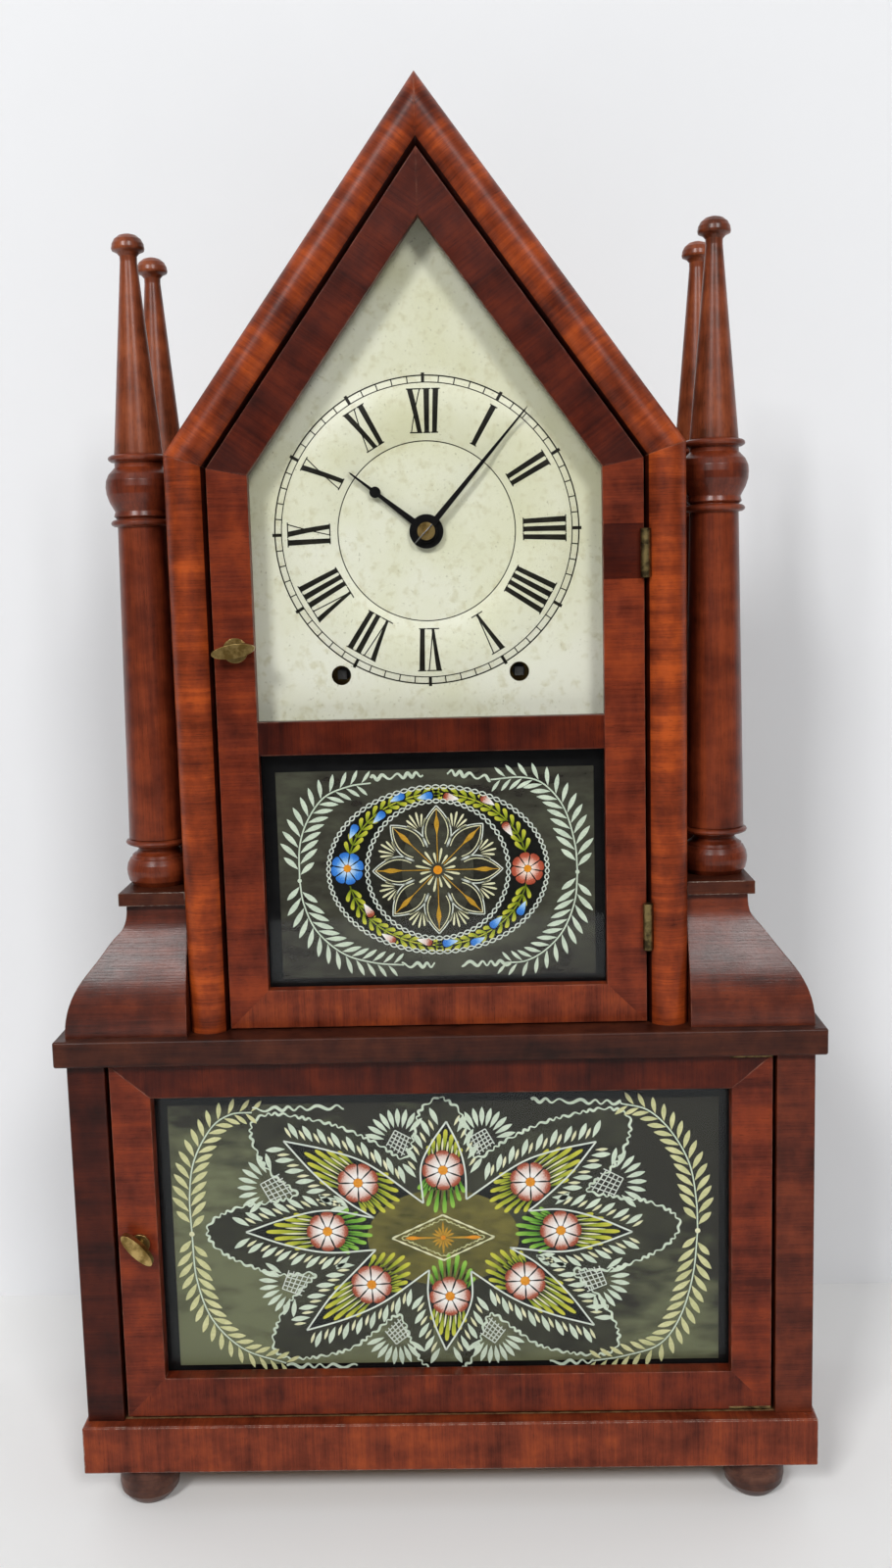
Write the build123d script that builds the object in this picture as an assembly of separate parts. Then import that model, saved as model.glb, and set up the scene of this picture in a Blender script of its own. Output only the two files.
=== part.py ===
from build123d import *
import math
import os

# Steeple clock: a two-tier shelf clock with a pointed upper case, four turned columns with
# steeples, two doors with decorated tablets, and an eight-day time and strike movement that
# is driven by a leaf spring in the base.
# Millimetres. X to the right, Y to the back, Z up; the origin is on the table, under the middle.

# general clearances
edge_round = 1.2            # worn edge on boards
running = 0.05              # radial play of an arbor in its hole
leaf_play = 0.10            # radial play between the centre tubes
free_gap = 0.3              # air between pieces that pass each other
overrun = 5.0               # how far a cutting tool runs past the work

# lower case
board = 12.0                # thickness of the case boards
box_half_width = 177.0
box_front = -63.0
case_back = 71.6            # as far behind the middle as the lower knob stands in front of it
back_thickness = 6.0
foot_height = 22.1
foot_radius = 14.8
foot_neck_radius = 11.0
foot_sole_radius = 9.5
foot_side_inset = 27.5      # foot centres inside the base mouldings
foot_front_inset = 19.0
foot_back_inset = 19.6
base_height = 24.2
base_side_reach = 1.5       # base mouldings outside the box
base_front_reach = 6.0
base_moulding_width = 8.0
stile_width = 18.0
lower_box_height = 181.8
cornice_side_reach = 4.6    # cornice outside the box
cornice_front_reach = 6.0
cornice_thickness = 12.7
well_half_width = 85.0      # hole in the cornice board for pendulum and drive cords
well_front_inset = 29.0
well_back_inset = 23.6

base_half_width = box_half_width + base_side_reach
base_front = box_front - base_front_reach
base_top = foot_height + base_height
box_top = base_top + lower_box_height
cornice_half_width = box_half_width + cornice_side_reach
cornice_front = box_front - cornice_front_reach
cornice_top = box_top + cornice_thickness
inner_back = case_back - back_thickness
foot_x = base_half_width - foot_side_inset
foot_ys = (base_front + foot_front_inset, case_back - foot_back_inset)

# upper case
case_half_width = 118.7
upper_side_height = 270.2
roof_rise = 162.0
moulding_width = 18.8
moulding_foot_inset = 21.0  # back face of the mouldings, behind the box front
moulding_side = 9.0         # straight side of the moulding before its half round starts
moulding_depth = 18.0

moulding_foot_y = box_front + moulding_foot_inset
moulding_front = moulding_foot_y - moulding_depth
shoulder_z = cornice_top + upper_side_height
apex_z = shoulder_z + roof_rise
roof_run = case_half_width
roof_length = math.hypot(roof_run, roof_rise)
roof_slope = roof_rise / roof_run
roof_vertical = roof_length / roof_run     # vertical height that one unit of width takes up

# ogee shoulders, column shelves and columns
ogee_height = 61.0
ogee_foot_inset = 5.0       # foot of the curve inside the cornice at the sides, and at the front
ogee_foot_front_inset = 5.8
ogee_neck_inset = 2.8       # neck of the curve inside the shelf
ogee_neck_front_inset = 4.0
shelf_reach = 31.7          # shelf outside the upper case
shelf_front_inset = 17.0    # shelf front behind the cornice front
shelf_back_inset = 11.6
shelf_thickness = 6.3
column_radius = 16.1
column_front_inset = 25.0   # front column's axis behind the shelf front
column_spacing = 52.0
column_height = 205.2
ring_height = 3.6
steeple_height = 100.0

shelf_half_width = case_half_width + shelf_reach
shelf_front = cornice_front + shelf_front_inset
shelf_back = case_back - shelf_back_inset
shelf_top = cornice_top + ogee_height + shelf_thickness
ogee_bottom_x = cornice_half_width - ogee_foot_inset
ogee_top_x = shelf_half_width - ogee_neck_inset
ogee_bottom_y = cornice_front + ogee_foot_front_inset
ogee_top_y = shelf_front + ogee_neck_front_inset
column_x = case_half_width + column_radius + free_gap
column_y = shelf_front + column_front_inset
column_top = shelf_top + column_height

# shares of radius and height that draw the turned and curved profiles
foot_shares = [(0.96, 0.25), (1.0, 0.42), (0.98, 0.6), (0.9, 0.8)]
ogee_shares = [(0, 0), (0.08, 0.25), (0.275, 0.43), (0.53, 0.58), (0.79, 0.74), (1.0, 1.0)]
base_shares = [(0.81, 0.0), (0.93, 0.012), (0.975, 0.027), (0.985, 0.038), (0.95, 0.052), (0.87, 0.064),
               (0.82, 0.066), (0.80, 0.072), (0.66, 0.079), (0.6, 0.086), (0.68, 0.093)]
shaft_bottom_share, shaft_top_share = 0.87, 0.71
ring_root_share, base_ring_share, ring_reach_share = 0.72, 0.975, 0.895
base_ring_up_share, shaft_up_share = 0.103, 0.837
capital_shares = [(0.80, 0.861), (0.76, 0.872), (0.80, 0.878), (0.91, 0.894), (0.98, 0.911),
                  (1.0, 0.927), (0.98, 0.942), (0.90, 0.956), (0.78, 0.966), (0.71, 0.972)]
steeple_shares = [(0.705, 0.0), (0.70, 0.01), (0.245, 0.875), (0.25, 0.90), (0.33, 0.915), (0.46, 0.925),
                  (0.475, 0.935), (0.455, 0.955), (0.39, 0.975), (0.26, 0.992), (0.1, 1.0)]

# upper door
door_side_gap = 0.8         # air round the door
door_foot_gap = 0.8
door_thickness = 12.0
door_side_height = 262.6
door_gable_height = 136.7
door_stile = 18.6
door_rafter = 17.0
door_bottom_rail = 18.3
door_mid_rail = 15.7
tablet_height = 112.5
glass_thickness = 2.0
glass_inset = 6.5           # glass behind the door's face
rebate_depth = 4.0          # how far the glass goes under the frame
glass_play = 0.3
upper_knob_inset = 10.0
upper_knob_rise = 180.0     # knob above the door's bottom

door_half_width = case_half_width - moulding_width - door_side_gap
door_front = moulding_foot_y - door_thickness
door_bottom = cornice_top + door_foot_gap
door_shoulder = door_bottom + door_side_height
door_apex = door_shoulder + door_gable_height
glass_front = door_front + glass_inset
upper_knob_x = -(door_half_width - upper_knob_inset)
upper_knob_z = door_bottom + upper_knob_rise

# lower door
lower_door_side_gap = 2.1
lower_door_foot_gap = 2.3
lower_door_head_gap = 1.1
lower_door_thickness = 15.0
lower_door_stile = 19.1
lower_door_rail_bottom = 19.5
lower_door_rail_top = 16.2
lower_glass_inset = 8.0
lower_pivot_inset = 4.4
lower_pivot_radius = 1.5
lower_pivot_depth = 5.0
lower_pivot_leaf = 1.2
lower_pivot_leaf_length = 20.0
lower_pivot_leaf_width = 8.0
lower_knob_inset = 10.5
lower_knob_rise = 89.6

lower_door_half_width = box_half_width - stile_width - lower_door_side_gap
lower_door_bottom = base_top + lower_door_foot_gap
lower_door_top = box_top - lower_door_head_gap
lower_glass_front = box_front + lower_glass_inset
lower_pivot_x = lower_door_half_width - lower_pivot_inset
lower_pivot_y = box_front + lower_pivot_leaf_width / 2
lower_knob_x = -(lower_door_half_width - lower_knob_inset)
lower_knob_z = lower_door_bottom + lower_knob_rise

# hinges of the upper door
hinge_height = 22.0
hinge_knuckle = 2.3
hinge_pin = 0.9
hinge_leaf = 1.0
hinge_leaf_depth = 11.0
hinge_low_rise = 35.4       # hinge feet above the door's bottom
hinge_high_rise = 208.9

hinge_axis_x = door_half_width + door_side_gap / 2
hinge_axis_y = door_front - hinge_knuckle - free_gap
hinge_feet = (door_bottom + hinge_low_rise, door_bottom + hinge_high_rise)

# turn latches
latch_shaft = 2.0
upper_rose_radius = 5.75
lower_rose_radius = 4.8
rose_thickness = 1.4
knob_stem = 5.0
wing_length = 20.0
wing_height = 6.4
wing_thickness = 3.6
upper_tilt, lower_tilt = 8.0, -47.0        # degrees of the wings, as they stand
tongue_length = 13.0
tongue_width = 7.0
tongue_thickness = 1.6

# dial and hands
dial_inset = 4.0            # dial behind the mouldings' back face
dial_thickness = 0.8
dial_side_gap = 8.7
dial_rise = 140.2           # foot of the dial above the cornice
dial_height = 238.0
centre_rise = 93.0          # hand arbor above the dial's foot
chapter_outer = 71.0
chapter_inner = 41.3
chapter_rise = 2.2
dial_hole = 4.6
winding_hole = 4.6
winding_x = 42.0
winding_drop = 66.0
cleat_width = 14.0
cleat_depth = 12.0
minute_length = 73.0
minute_half_root, minute_half_tip = 1.5, 0.35
minute_angle = 40.9
hour_length = 45.0
hour_half_root, hour_half_tip = 1.7, 0.4
hour_angle = 308.3
hand_point_share = 0.97     # where the blade's sides turn in to the point
hour_ball = 2.6
hour_ball_share = 0.66
hand_thickness = 0.9
minute_hub = 5.2
hour_hub = 7.9
hour_hand_gap = 1.1         # air between the chapter ring and the hour hand
hand_step = 2.0             # from the hour hand's front to the minute hand's
collet_radius = 4.1
collet_thickness = 1.2

dial_front = moulding_foot_y + dial_inset
dial_half_width = case_half_width - board - dial_side_gap
dial_bottom = cornice_top + dial_rise
dial_apex = dial_bottom + dial_height
centre_z = dial_bottom + centre_rise
hour_hand_front = dial_front - chapter_rise - hour_hand_gap
minute_hand_front = hour_hand_front - hand_step

# movement plates
plate_inset = 14.0          # front plate behind the dial's face
plate_gap = 32.0
plate_thickness = 2.0
plate_half_width = 66.0
plate_below = 110.0         # plate edges from the hand arbor
plate_above = 78.0
pillar_radius = 3.5
pillar_inset = 6.0
block_side = 16.0
block_x = 42.0
arbor = 1.2

plate_front = dial_front + plate_inset
plate_bottom = centre_z - plate_below
plate_top = centre_z + plate_above
plate_front_back = plate_front + plate_thickness
back_plate_front = plate_front_back + plate_gap
back_plate_back = back_plate_front + plate_thickness

# wheels: teeth, modules, and how far each wheel's face is behind the front plate's face
wheel_thickness = 1.5
great_teeth, great_module = 72, 1.0
great_pinion_teeth = 12
second_teeth, second_module = 72, 0.87
second_pinion_teeth = 12
centre_teeth, centre_module = 84, 0.55
third_teeth, third_module = 56, 0.7
small_pinion_teeth = 7
escape_teeth = 30
escape_radius = 17.0
escape_root_share, escape_window_share = 0.8, 0.66
escape_back_share, escape_front_share = 0.22, 0.72      # feet of the raked teeth, in tooth steps
strike_second_teeth, strike_second_module = 72, 0.7
warning_teeth, warning_module = 56, 0.6
warning_pinion_teeth = 8
great_wheel_depth = 6.5
second_wheel_depth = 12.5
centre_wheel_depth = 18.5
third_wheel_depth = 25.5
warning_wheel_depth = 30.2
third_angle = 40.0          # directions of arbors from the ones that drive them, clockwise from up
warning_angle = -25.0
fly_angle = -5.0
motion_angle = 112.0
fly_radius = 11.5
fly_length = 16.0
fly_inset = 2.5
cannon_teeth = 12
minute_wheel_teeth = 36
minute_pinion_teeth = 10
hour_wheel_teeth = 40
cannon_module = 0.8
minute_wheel_lead = 4.6     # motion work in front of the front plate's face
hour_wheel_lead = 9.2
stud_reach = 1.0            # end of the minute wheel's stud past the hour wheel
motion_hub_reach = 0.6
cannon_radius = 2.2
hour_pipe_radius = 3.3
pinion_length = 4.5         # lantern pinions, and the short ones of the motion work and the fly
short_pinion_length = 3.2
minute_pinion_length = 2.6
tooth_root_share, tooth_tip_share = 0.5, 0.22     # tooth width as shares of the pitch
addendum_share, dedendum_share = 0.8, 1.0         # shares of the module
rim_share = 2.2             # depth of the wheel rim, in modules
trundle_share = 0.17        # trundle radius as a share of the pitch
cheek_share = 0.2           # thickness of a lantern's end disc, as a share of its length
cheek_rim_share = 1.6       # end disc outside the trundles' circle, in trundle radii

great_wheel_y = plate_front + great_wheel_depth
second_wheel_y = plate_front + second_wheel_depth
centre_wheel_y = plate_front + centre_wheel_depth
third_wheel_y = plate_front + third_wheel_depth
strike_second_y = third_wheel_y
warning_wheel_y = plate_front + warning_wheel_depth
escape_wheel_y = second_wheel_y
minute_wheel_y = plate_front - minute_wheel_lead
hour_wheel_y = plate_front - hour_wheel_lead

# verge, with the anchor's shape in shares of the escape wheel's radius
verge_drop = 24.5           # verge arbor above the escape arbor
anchor_reach_share, anchor_neck_share, anchor_top_share = 0.62, 0.55, 0.8
pallet_gap = 2.2            # pallets outside the wheel, at rest
pallet_tip = 1.2
pallet_back = 0.8
strap_half = 1.6
anchor_side = 1.0           # anchor wider than the wheel on each face
crutch_length = 48.0
crutch_radius = 1.0

# winding arbors and drums
winding_arbor = 3.0
drum_radius = 8.3
drum_length = 16.0
winding_square = 4.4
winding_square_length = 9.0
ratchet_radius = 11.5
ratchet_teeth = 20
ratchet_rake_share = 0.1    # foot of each ratchet tooth, in tooth steps
click_length = 12.0
click_width = 3.2

# leaf spring drive
leaf_count = 7
leaf_thickness = 1.6
leaf_spacing = 0.06
leaf_width = 26.0
leaf_side_gap = 27.0        # spring ends inside the lower sides
leaf_sagitta = 34.0
leaf_rise = 15.7            # spring above the base board
leaf_y = -3.0
leaf_shorter_share = 0.12   # each leaf below the first is this share of the half chord shorter
clamp_width = 22.0
clamp_thickness = 4.0
strap_rise = 3.4            # strap above the leaves, which bow up beside it
lever_thickness = 5.0
lever_height = 7.0
lever_pin = 1.75
lever_pivot_x = 16.0
lever_pivot_rise = 27.0     # above the spring's foot
lever_end_inset = 12.0
lever_end_rise = 50.0
cord_radius = 1.0

leaf_half_chord = box_half_width - board - leaf_side_gap
leaf_bottom_z = base_top + leaf_rise
lever_pivot_z = leaf_bottom_z + lever_pivot_rise
lever_end_x = leaf_half_chord - lever_end_inset
lever_end_z = leaf_bottom_z + lever_end_rise

# pendulum
pendulum_gap = 10.0         # rod behind the back plate
pendulum_swing = 4.0        # degrees each way
rod_radius = 1.1
strip_thickness = 0.6
strip_width = 4.0
strip_length = 16.0
bob_radius = 25.0
bob_thickness = 13.0
bob_edge = 3.2
bob_air = 4.5               # rod's end above the levers
cock_width = 9.0
nut_radius = 5.0
nut_height = 4.0

pendulum_y = back_plate_back + pendulum_gap
bob_z = lever_pivot_z + lever_height / 2 + bob_air + 2 * nut_height + bob_radius

# gong and hammer
gong_x = -6.0
gong_rise = 81.2            # gong above the cornice
gong_inset = 13.6           # gong in front of the back board
gong_wire = 1.5
gong_stem = 1.8
gong_pitch = 9.0
gong_half_turn_count = 8
gong_step_count = 24        # points of each half turn where the gap is measured
gong_start_radius = 10.0
gong_block_radius = 17.0
hammer_x = -62.0
hammer_rise = 26.0          # hammer arbor above the hand arbor
hammer_head_radius = 5.0
hammer_head_length = 9.0
hammer_arm_radius = 1.2

gong_y = inner_back - gong_inset
gong_z = cornice_top + gong_rise
hammer_arbor_z = centre_z + hammer_rise


def brick(x0, x1, y0, y1, z0, z1):
    return Pos((x0 + x1) / 2, (y0 + y1) / 2, (z0 + z1) / 2) * Box(abs(x1 - x0), abs(y1 - y0), abs(z1 - z0))


def outline(points):
    return make_face(Polyline(*points, close=True))


def slab(face, front, back):
    """A face drawn in X and Z, made solid from y = front to y = back."""
    return extrude(Plane.XZ.offset(-back) * face, back - front)


def disc(x, z, radius, front, back):
    return slab(Pos(x, z) * Circle(radius), front, back)


def upright(x, y, radius, z0, z1):
    return Pos(x, y, (z0 + z1) / 2) * Cylinder(radius, z1 - z0)


def mirrored(shape):
    return mirror(shape, Plane.YZ)


def polar(x, z, radius, angle):
    """A point at a distance from (x, z); the angle runs clockwise from straight up, in degrees."""
    a = math.radians(angle)
    return (x + radius * math.sin(a), z + radius * math.cos(a))


def heading(a, b):
    """Clockwise angle from straight up of the line from a to b, in degrees."""
    return math.degrees(math.atan2(b[0] - a[0], b[1] - a[1]))


def meeting(a, ra, b, rb, side):
    """The point at distance ra from a and rb from b, on one side of the line between them."""
    d = math.dist(a, b)
    along = (ra * ra - rb * rb + d * d) / (2 * d)
    across = math.sqrt(max(ra * ra - along * along, 0))
    ux, uz = (b[0] - a[0]) / d, (b[1] - a[1]) / d
    return (a[0] + ux * along + side * uz * across, a[1] + uz * along - side * ux * across)


def turned(profile, x, y):
    """A turned piece on an upright axis: the profile is a list of (radius, z)."""
    points = [(0, profile[0][1])] + profile + [(0, profile[-1][1])]
    return Pos(x, y, 0) * revolve(Plane.XZ * outline(points), Axis.Z)


def bead(z, height, radius, reach, steps=7):
    """Points of a half-round bead that stands out from radius to reach."""
    points = []
    for i in range(steps):
        a = -math.pi / 2 + math.pi * i / (steps - 1)
        points.append((radius + (reach - radius) * math.cos(a), z + height / 2 * math.sin(a)))
    return points


def bun_feet():
    rim_radius = (foot_sole_radius + foot_radius) / 2
    sole = [(foot_sole_radius, 0), (rim_radius, foot_height / 8)]
    bulge = [(foot_radius * share, foot_height * up_share) for share, up_share in foot_shares]
    profile = sole + bulge + [(foot_neck_radius, foot_height)]
    places = [(x, y) for x in (-foot_x, foot_x) for y in foot_ys]
    return [turned(profile, x, y) for x, y in places]


def base_board():
    core = base_half_width - base_moulding_width
    body = brick(-core, core, base_front + base_moulding_width, case_back, foot_height, base_top)
    pin_hole = upright(lower_pivot_x, lower_pivot_y, lower_pivot_radius + running,
                       base_top - lower_pivot_depth - free_gap, base_top + overrun)
    return [body - pin_hole]


def base_mouldings():
    """Veneered strips round the base board, mitred at the two front corners."""
    w, inner = base_half_width, base_half_width - base_moulding_width
    front_face = outline([(-w, base_front), (w, base_front), (inner, base_front + base_moulding_width),
                          (-inner, base_front + base_moulding_width)])
    side_face = outline([(w, base_front), (w, case_back), (inner, case_back),
                         (inner, base_front + base_moulding_width)])
    front = Pos(0, 0, foot_height) * extrude(front_face, base_height)
    side = Pos(0, 0, foot_height) * extrude(side_face, base_height)
    front = chamfer(front.edges().filter_by(Axis.X).group_by(Axis.Y)[0], edge_round / 2)
    side = chamfer(side.edges().filter_by(Axis.Y).sort_by(Axis.X)[-2:], edge_round / 2)
    return [front, side, mirrored(side)]


def lower_sides():
    right = brick(box_half_width - board, box_half_width, box_front + board, inner_back, base_top, box_top)
    return [right, mirrored(right)]


def lower_back_board():
    return [brick(-box_half_width, box_half_width, inner_back, case_back, base_top, box_top)]


def lower_stiles():
    right = brick(box_half_width - stile_width, box_half_width, box_front, box_front + board,
                  base_top, box_top)
    right = fillet(right.edges().filter_by(Axis.Z).group_by(Axis.Y)[0], edge_round / 2)
    return [right, mirrored(right)]


def cornice_board():
    body = brick(-cornice_half_width, cornice_half_width, cornice_front, case_back, box_top, cornice_top)
    rim = body.edges().group_by(Axis.Y)[0] + body.edges().filter_by(Axis.Y)
    body = fillet(rim, edge_round)
    well = brick(-well_half_width, well_half_width, cornice_front + well_front_inset,
                 case_back - well_back_inset, box_top - overrun, cornice_top + overrun)
    pin_hole = upright(lower_pivot_x, lower_pivot_y, lower_pivot_radius + running,
                       box_top - overrun, lower_door_top + lower_pivot_depth + free_gap)
    return [body - well - pin_hole]


def ogee_curve(top, bottom, low, high):
    """Cyma curve from (bottom, low) up to (top, high): hollow above, rounded below."""
    reach, rise = bottom - top, high - low
    return Spline([(bottom - reach * run, low + rise * up) for run, up in ogee_shares],
                  tangents=[(0, 1), (0, 1)])


def ogee_shoulder_right():
    low, high = cornice_top, shelf_top - shelf_thickness
    side = ogee_curve(ogee_top_x, ogee_bottom_x, low, high)
    side_face = make_face([side, Line((ogee_top_x, high), (case_half_width, high)),
                           Line((case_half_width, high), (case_half_width, low)),
                           Line((case_half_width, low), (ogee_bottom_x, low))])
    block = slab(side_face, ogee_bottom_y - overrun, shelf_back)
    front = ogee_curve(-ogee_top_y, -ogee_bottom_y, low, high)
    front_face = make_face([front, Line((-ogee_top_y, high), (-shelf_back, high)),
                            Line((-shelf_back, high), (-shelf_back, low)),
                            Line((-shelf_back, low), (-ogee_bottom_y, low))])
    profile_plane = Plane(origin=(case_half_width, 0, 0), x_dir=(0, -1, 0), z_dir=(-1, 0, 0))
    band = extrude(profile_plane * front_face, -(ogee_bottom_x - case_half_width + overrun))
    return (block & band).solids()


def column_shelves():
    right = brick(case_half_width, shelf_half_width, shelf_front, shelf_back,
                  shelf_top - shelf_thickness, shelf_top)
    right = fillet(right.edges().group_by(Axis.Z)[-1].group_by(Axis.X)[-1], edge_round / 2)
    return [right, mirrored(right)]


column_places = [(side * column_x, column_y + row * column_spacing) for side in (-1, 1) for row in (0, 1)]


def columns():
    """Turned column from the shelf to the bead under its steeple."""
    low = [(column_radius * r, shelf_top + column_height * up) for r, up in base_shares]
    base_ring = bead(shelf_top + column_height * base_ring_up_share, ring_height,
                     column_radius * ring_root_share, column_radius * base_ring_share)
    shaft = [(column_radius * shaft_bottom_share, base_ring[-1][1]),
             (column_radius * shaft_top_share, shelf_top + column_height * shaft_up_share)]
    capital_ring = bead(shaft[1][1] + ring_height / 2, ring_height, column_radius * shaft_top_share,
                        column_radius * ring_reach_share)
    high = [(column_radius * r, shelf_top + column_height * up) for r, up in capital_shares]
    neck = column_radius * capital_shares[-1][0]
    top_ring = bead(column_top - ring_height / 2, ring_height, neck, column_radius * ring_reach_share)
    profile = low + base_ring + shaft[:1] + capital_ring + high + top_ring[:-1] + [(neck, column_top)]
    return [turned(profile, x, y) for x, y in column_places]


def steeple_finials():
    profile = [(column_radius * r, column_top + steeple_height * up) for r, up in steeple_shares]
    return [turned(profile, x, y) for x, y in column_places]


def roof_z(x, inset=0.0):
    """Height of the roof line, moved in by a distance square to the slope."""
    return apex_z - inset * roof_vertical - roof_slope * abs(x)


def upper_sides():
    inner = case_half_width - board
    face = outline([(inner, cornice_top), (case_half_width, cornice_top), (case_half_width, shoulder_z),
                    (inner, roof_z(inner, board))])
    right = slab(face, moulding_foot_y, inner_back)
    return [right, mirrored(right)]


def roof_boards():
    inner = case_half_width - board
    face = outline([(case_half_width, shoulder_z), (0, apex_z), (0, roof_z(0, board)),
                    (inner, roof_z(inner, board))])
    right = slab(face, moulding_foot_y, inner_back)
    return [right, mirrored(right)]


def upper_back_board():
    face = outline([(-case_half_width, cornice_top), (case_half_width, cornice_top),
                    (case_half_width, shoulder_z), (0, apex_z), (-case_half_width, shoulder_z)])
    return [slab(face, inner_back, case_back)]


def moulding_bar(start, angle, length):
    """Half-round moulding with its outer edge through start; it runs at an angle from upright."""
    crown_y = moulding_foot_y - moulding_side
    half = moulding_width / 2
    face = make_face([Line((0, moulding_foot_y), (0, crown_y)),
                      ThreePointArc((0, crown_y), (half, moulding_front), (moulding_width, crown_y)),
                      Line((moulding_width, crown_y), (moulding_width, moulding_foot_y)),
                      Line((moulding_width, moulding_foot_y), (0, moulding_foot_y))])
    a = math.radians(angle)
    along = (math.sin(a), 0, math.cos(a))
    inward = (-math.cos(a), 0, math.sin(a))
    plane = Plane(origin=(start[0], 0, start[1]), x_dir=inward, z_dir=(-along[0], 0, -along[2]))
    return extrude(plane * face, -length)


def moulding_corner():
    """Inner end of the mitre at the shoulder."""
    inner = case_half_width - moulding_width
    return (inner, roof_z(inner, moulding_width))


def hinge_room():
    """Cuts in the moulding for the knuckles and the fixed leaves of the hinges."""
    cuts = []
    for z in hinge_feet:
        knuckle = upright(hinge_axis_x, hinge_axis_y, hinge_knuckle + free_gap, z, z + hinge_height)
        leaf = brick(hinge_axis_x, case_half_width - moulding_width + hinge_leaf, hinge_axis_y,
                     hinge_axis_y + hinge_leaf_depth, z, z + hinge_height)
        cuts += [knuckle, leaf]
    return cuts


def stile_mouldings():
    inner = case_half_width - moulding_width
    bar = moulding_bar((case_half_width, cornice_top), 0, shoulder_z - cornice_top + overrun)
    limit = slab(outline([(inner - overrun, cornice_top), (case_half_width + overrun, cornice_top),
                          (case_half_width + overrun, shoulder_z), (case_half_width, shoulder_z),
                          moulding_corner(), (inner - overrun, moulding_corner()[1])]),
                 moulding_front - overrun, moulding_foot_y)
    right = bar & limit
    left = mirrored(right)
    for cut in hinge_room():
        right = right - cut
    return right.solids() + left.solids()


def roof_mouldings():
    angle = -math.degrees(math.atan2(roof_run, roof_rise))
    start = (case_half_width + overrun * roof_run / roof_length,
             shoulder_z - overrun * roof_rise / roof_length)
    bar = moulding_bar(start, angle, roof_length + 2 * overrun)
    corner = moulding_corner()
    limit = slab(outline([(case_half_width, shoulder_z), (case_half_width + overrun, shoulder_z + overrun),
                          (overrun, apex_z + 2 * overrun), (0, apex_z + 2 * overrun),
                          (0, roof_z(0, moulding_width) - overrun), corner]),
                 moulding_front - overrun, moulding_foot_y)
    right = bar & limit
    return right.solids() + mirrored(right).solids()


def dial_cleats():
    """Strips on the case sides that the dial is pinned to."""
    inner = case_half_width - board
    y0 = dial_front + dial_thickness
    top = roof_z(inner, board) - overrun
    right = brick(inner - cleat_width, inner, y0, y0 + cleat_depth, dial_bottom, top)
    return [right, mirrored(right)]


def dial():
    """Painted plate with a pointed top; its chapter ring is pressed forward in a low swell."""
    shoulder = roof_z(dial_half_width, board + free_gap)
    low_shoulder = min(shoulder, dial_apex - roof_slope * dial_half_width)
    face = outline([(-dial_half_width, dial_bottom), (dial_half_width, dial_bottom),
                    (dial_half_width, low_shoulder), (0, dial_apex), (-dial_half_width, low_shoulder)])
    plate = slab(face, dial_front, dial_front + dial_thickness)
    middle = (chapter_inner + chapter_outer) / 2
    swell = make_face([ThreePointArc((chapter_inner, 0), (middle, chapter_rise), (chapter_outer, 0)),
                       Line((chapter_outer, 0), (chapter_inner, 0))])
    ring_plane = Plane(origin=(0, dial_front, centre_z), x_dir=(1, 0, 0), z_dir=(0, 0, 1))
    front_swell = revolve(ring_plane * mirror(swell, Plane.XZ), Axis((0, 0, centre_z), (0, 1, 0)))
    body = plate + front_swell
    for x, z, r in ((0, centre_z, dial_hole), (-winding_x, centre_z - winding_drop, winding_hole),
                    (winding_x, centre_z - winding_drop, winding_hole)):
        body = body - disc(x, z, r, dial_front - overrun, dial_front + dial_thickness + overrun)
    return body.solids()


def hinge_leaves(on_door):
    """Two butt hinges: the middle knuckle and the pin belong to the door."""
    pieces = []
    third = hinge_height / 3
    for z in hinge_feet:
        if on_door:
            x0, x1 = door_half_width - hinge_leaf, door_half_width
            spans = [(z + third + running, z + 2 * third - running)]
        else:
            x0 = case_half_width - moulding_width
            x1 = x0 + hinge_leaf
            spans = [(z, z + third), (z + 2 * third, z + hinge_height)]
        leaf = brick(x0, x1, hinge_axis_y, hinge_axis_y + hinge_leaf_depth, z, z + hinge_height)
        other = [(z, z + hinge_height)]
        knuckles = [upright(hinge_axis_x, hinge_axis_y, hinge_knuckle, a, b) for a, b in spans]
        clear = upright(hinge_axis_x, hinge_axis_y, hinge_knuckle + running, *other[0])
        body = leaf - clear
        arm_front = hinge_axis_y
        for (a, b), knuckle in zip(spans, knuckles):
            arm = brick(x0, x1, arm_front, hinge_axis_y + 2 * hinge_knuckle, a, b)
            body = body + knuckle + arm
        if on_door:
            body = body + upright(hinge_axis_x, hinge_axis_y, hinge_pin, z, z + hinge_height)
        else:
            body = body - upright(hinge_axis_x, hinge_axis_y, hinge_pin + running,
                                  z - overrun, z + hinge_height + overrun)
        pieces += body.solids()
    return pieces


def door_z(x, inset=0.0):
    """Height of the upper door's sloping edge, moved in by a distance square to the slope."""
    rise = (door_apex - door_shoulder) / door_half_width
    return door_apex - inset * math.hypot(1, rise) - rise * abs(x)


def door_levels():
    """Heights of the rails: bottom of tablet, top of tablet, top of middle rail."""
    tablet_bottom = door_bottom + door_bottom_rail
    tablet_top = tablet_bottom + tablet_height
    return tablet_bottom, tablet_top, tablet_top + door_mid_rail


def window(half_width, low, high):
    return [(-half_width, low), (half_width, low), (half_width, high), (-half_width, high)]


def gable_window(grow):
    """Outline of the pointed upper glass opening, grown by a width."""
    half = door_half_width - door_stile + grow
    low = door_levels()[2] - grow
    inset = door_rafter - grow
    return [(-half, low), (half, low), (half, door_z(half, inset)), (0, door_z(0, inset)),
            (-half, door_z(half, inset))]


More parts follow.
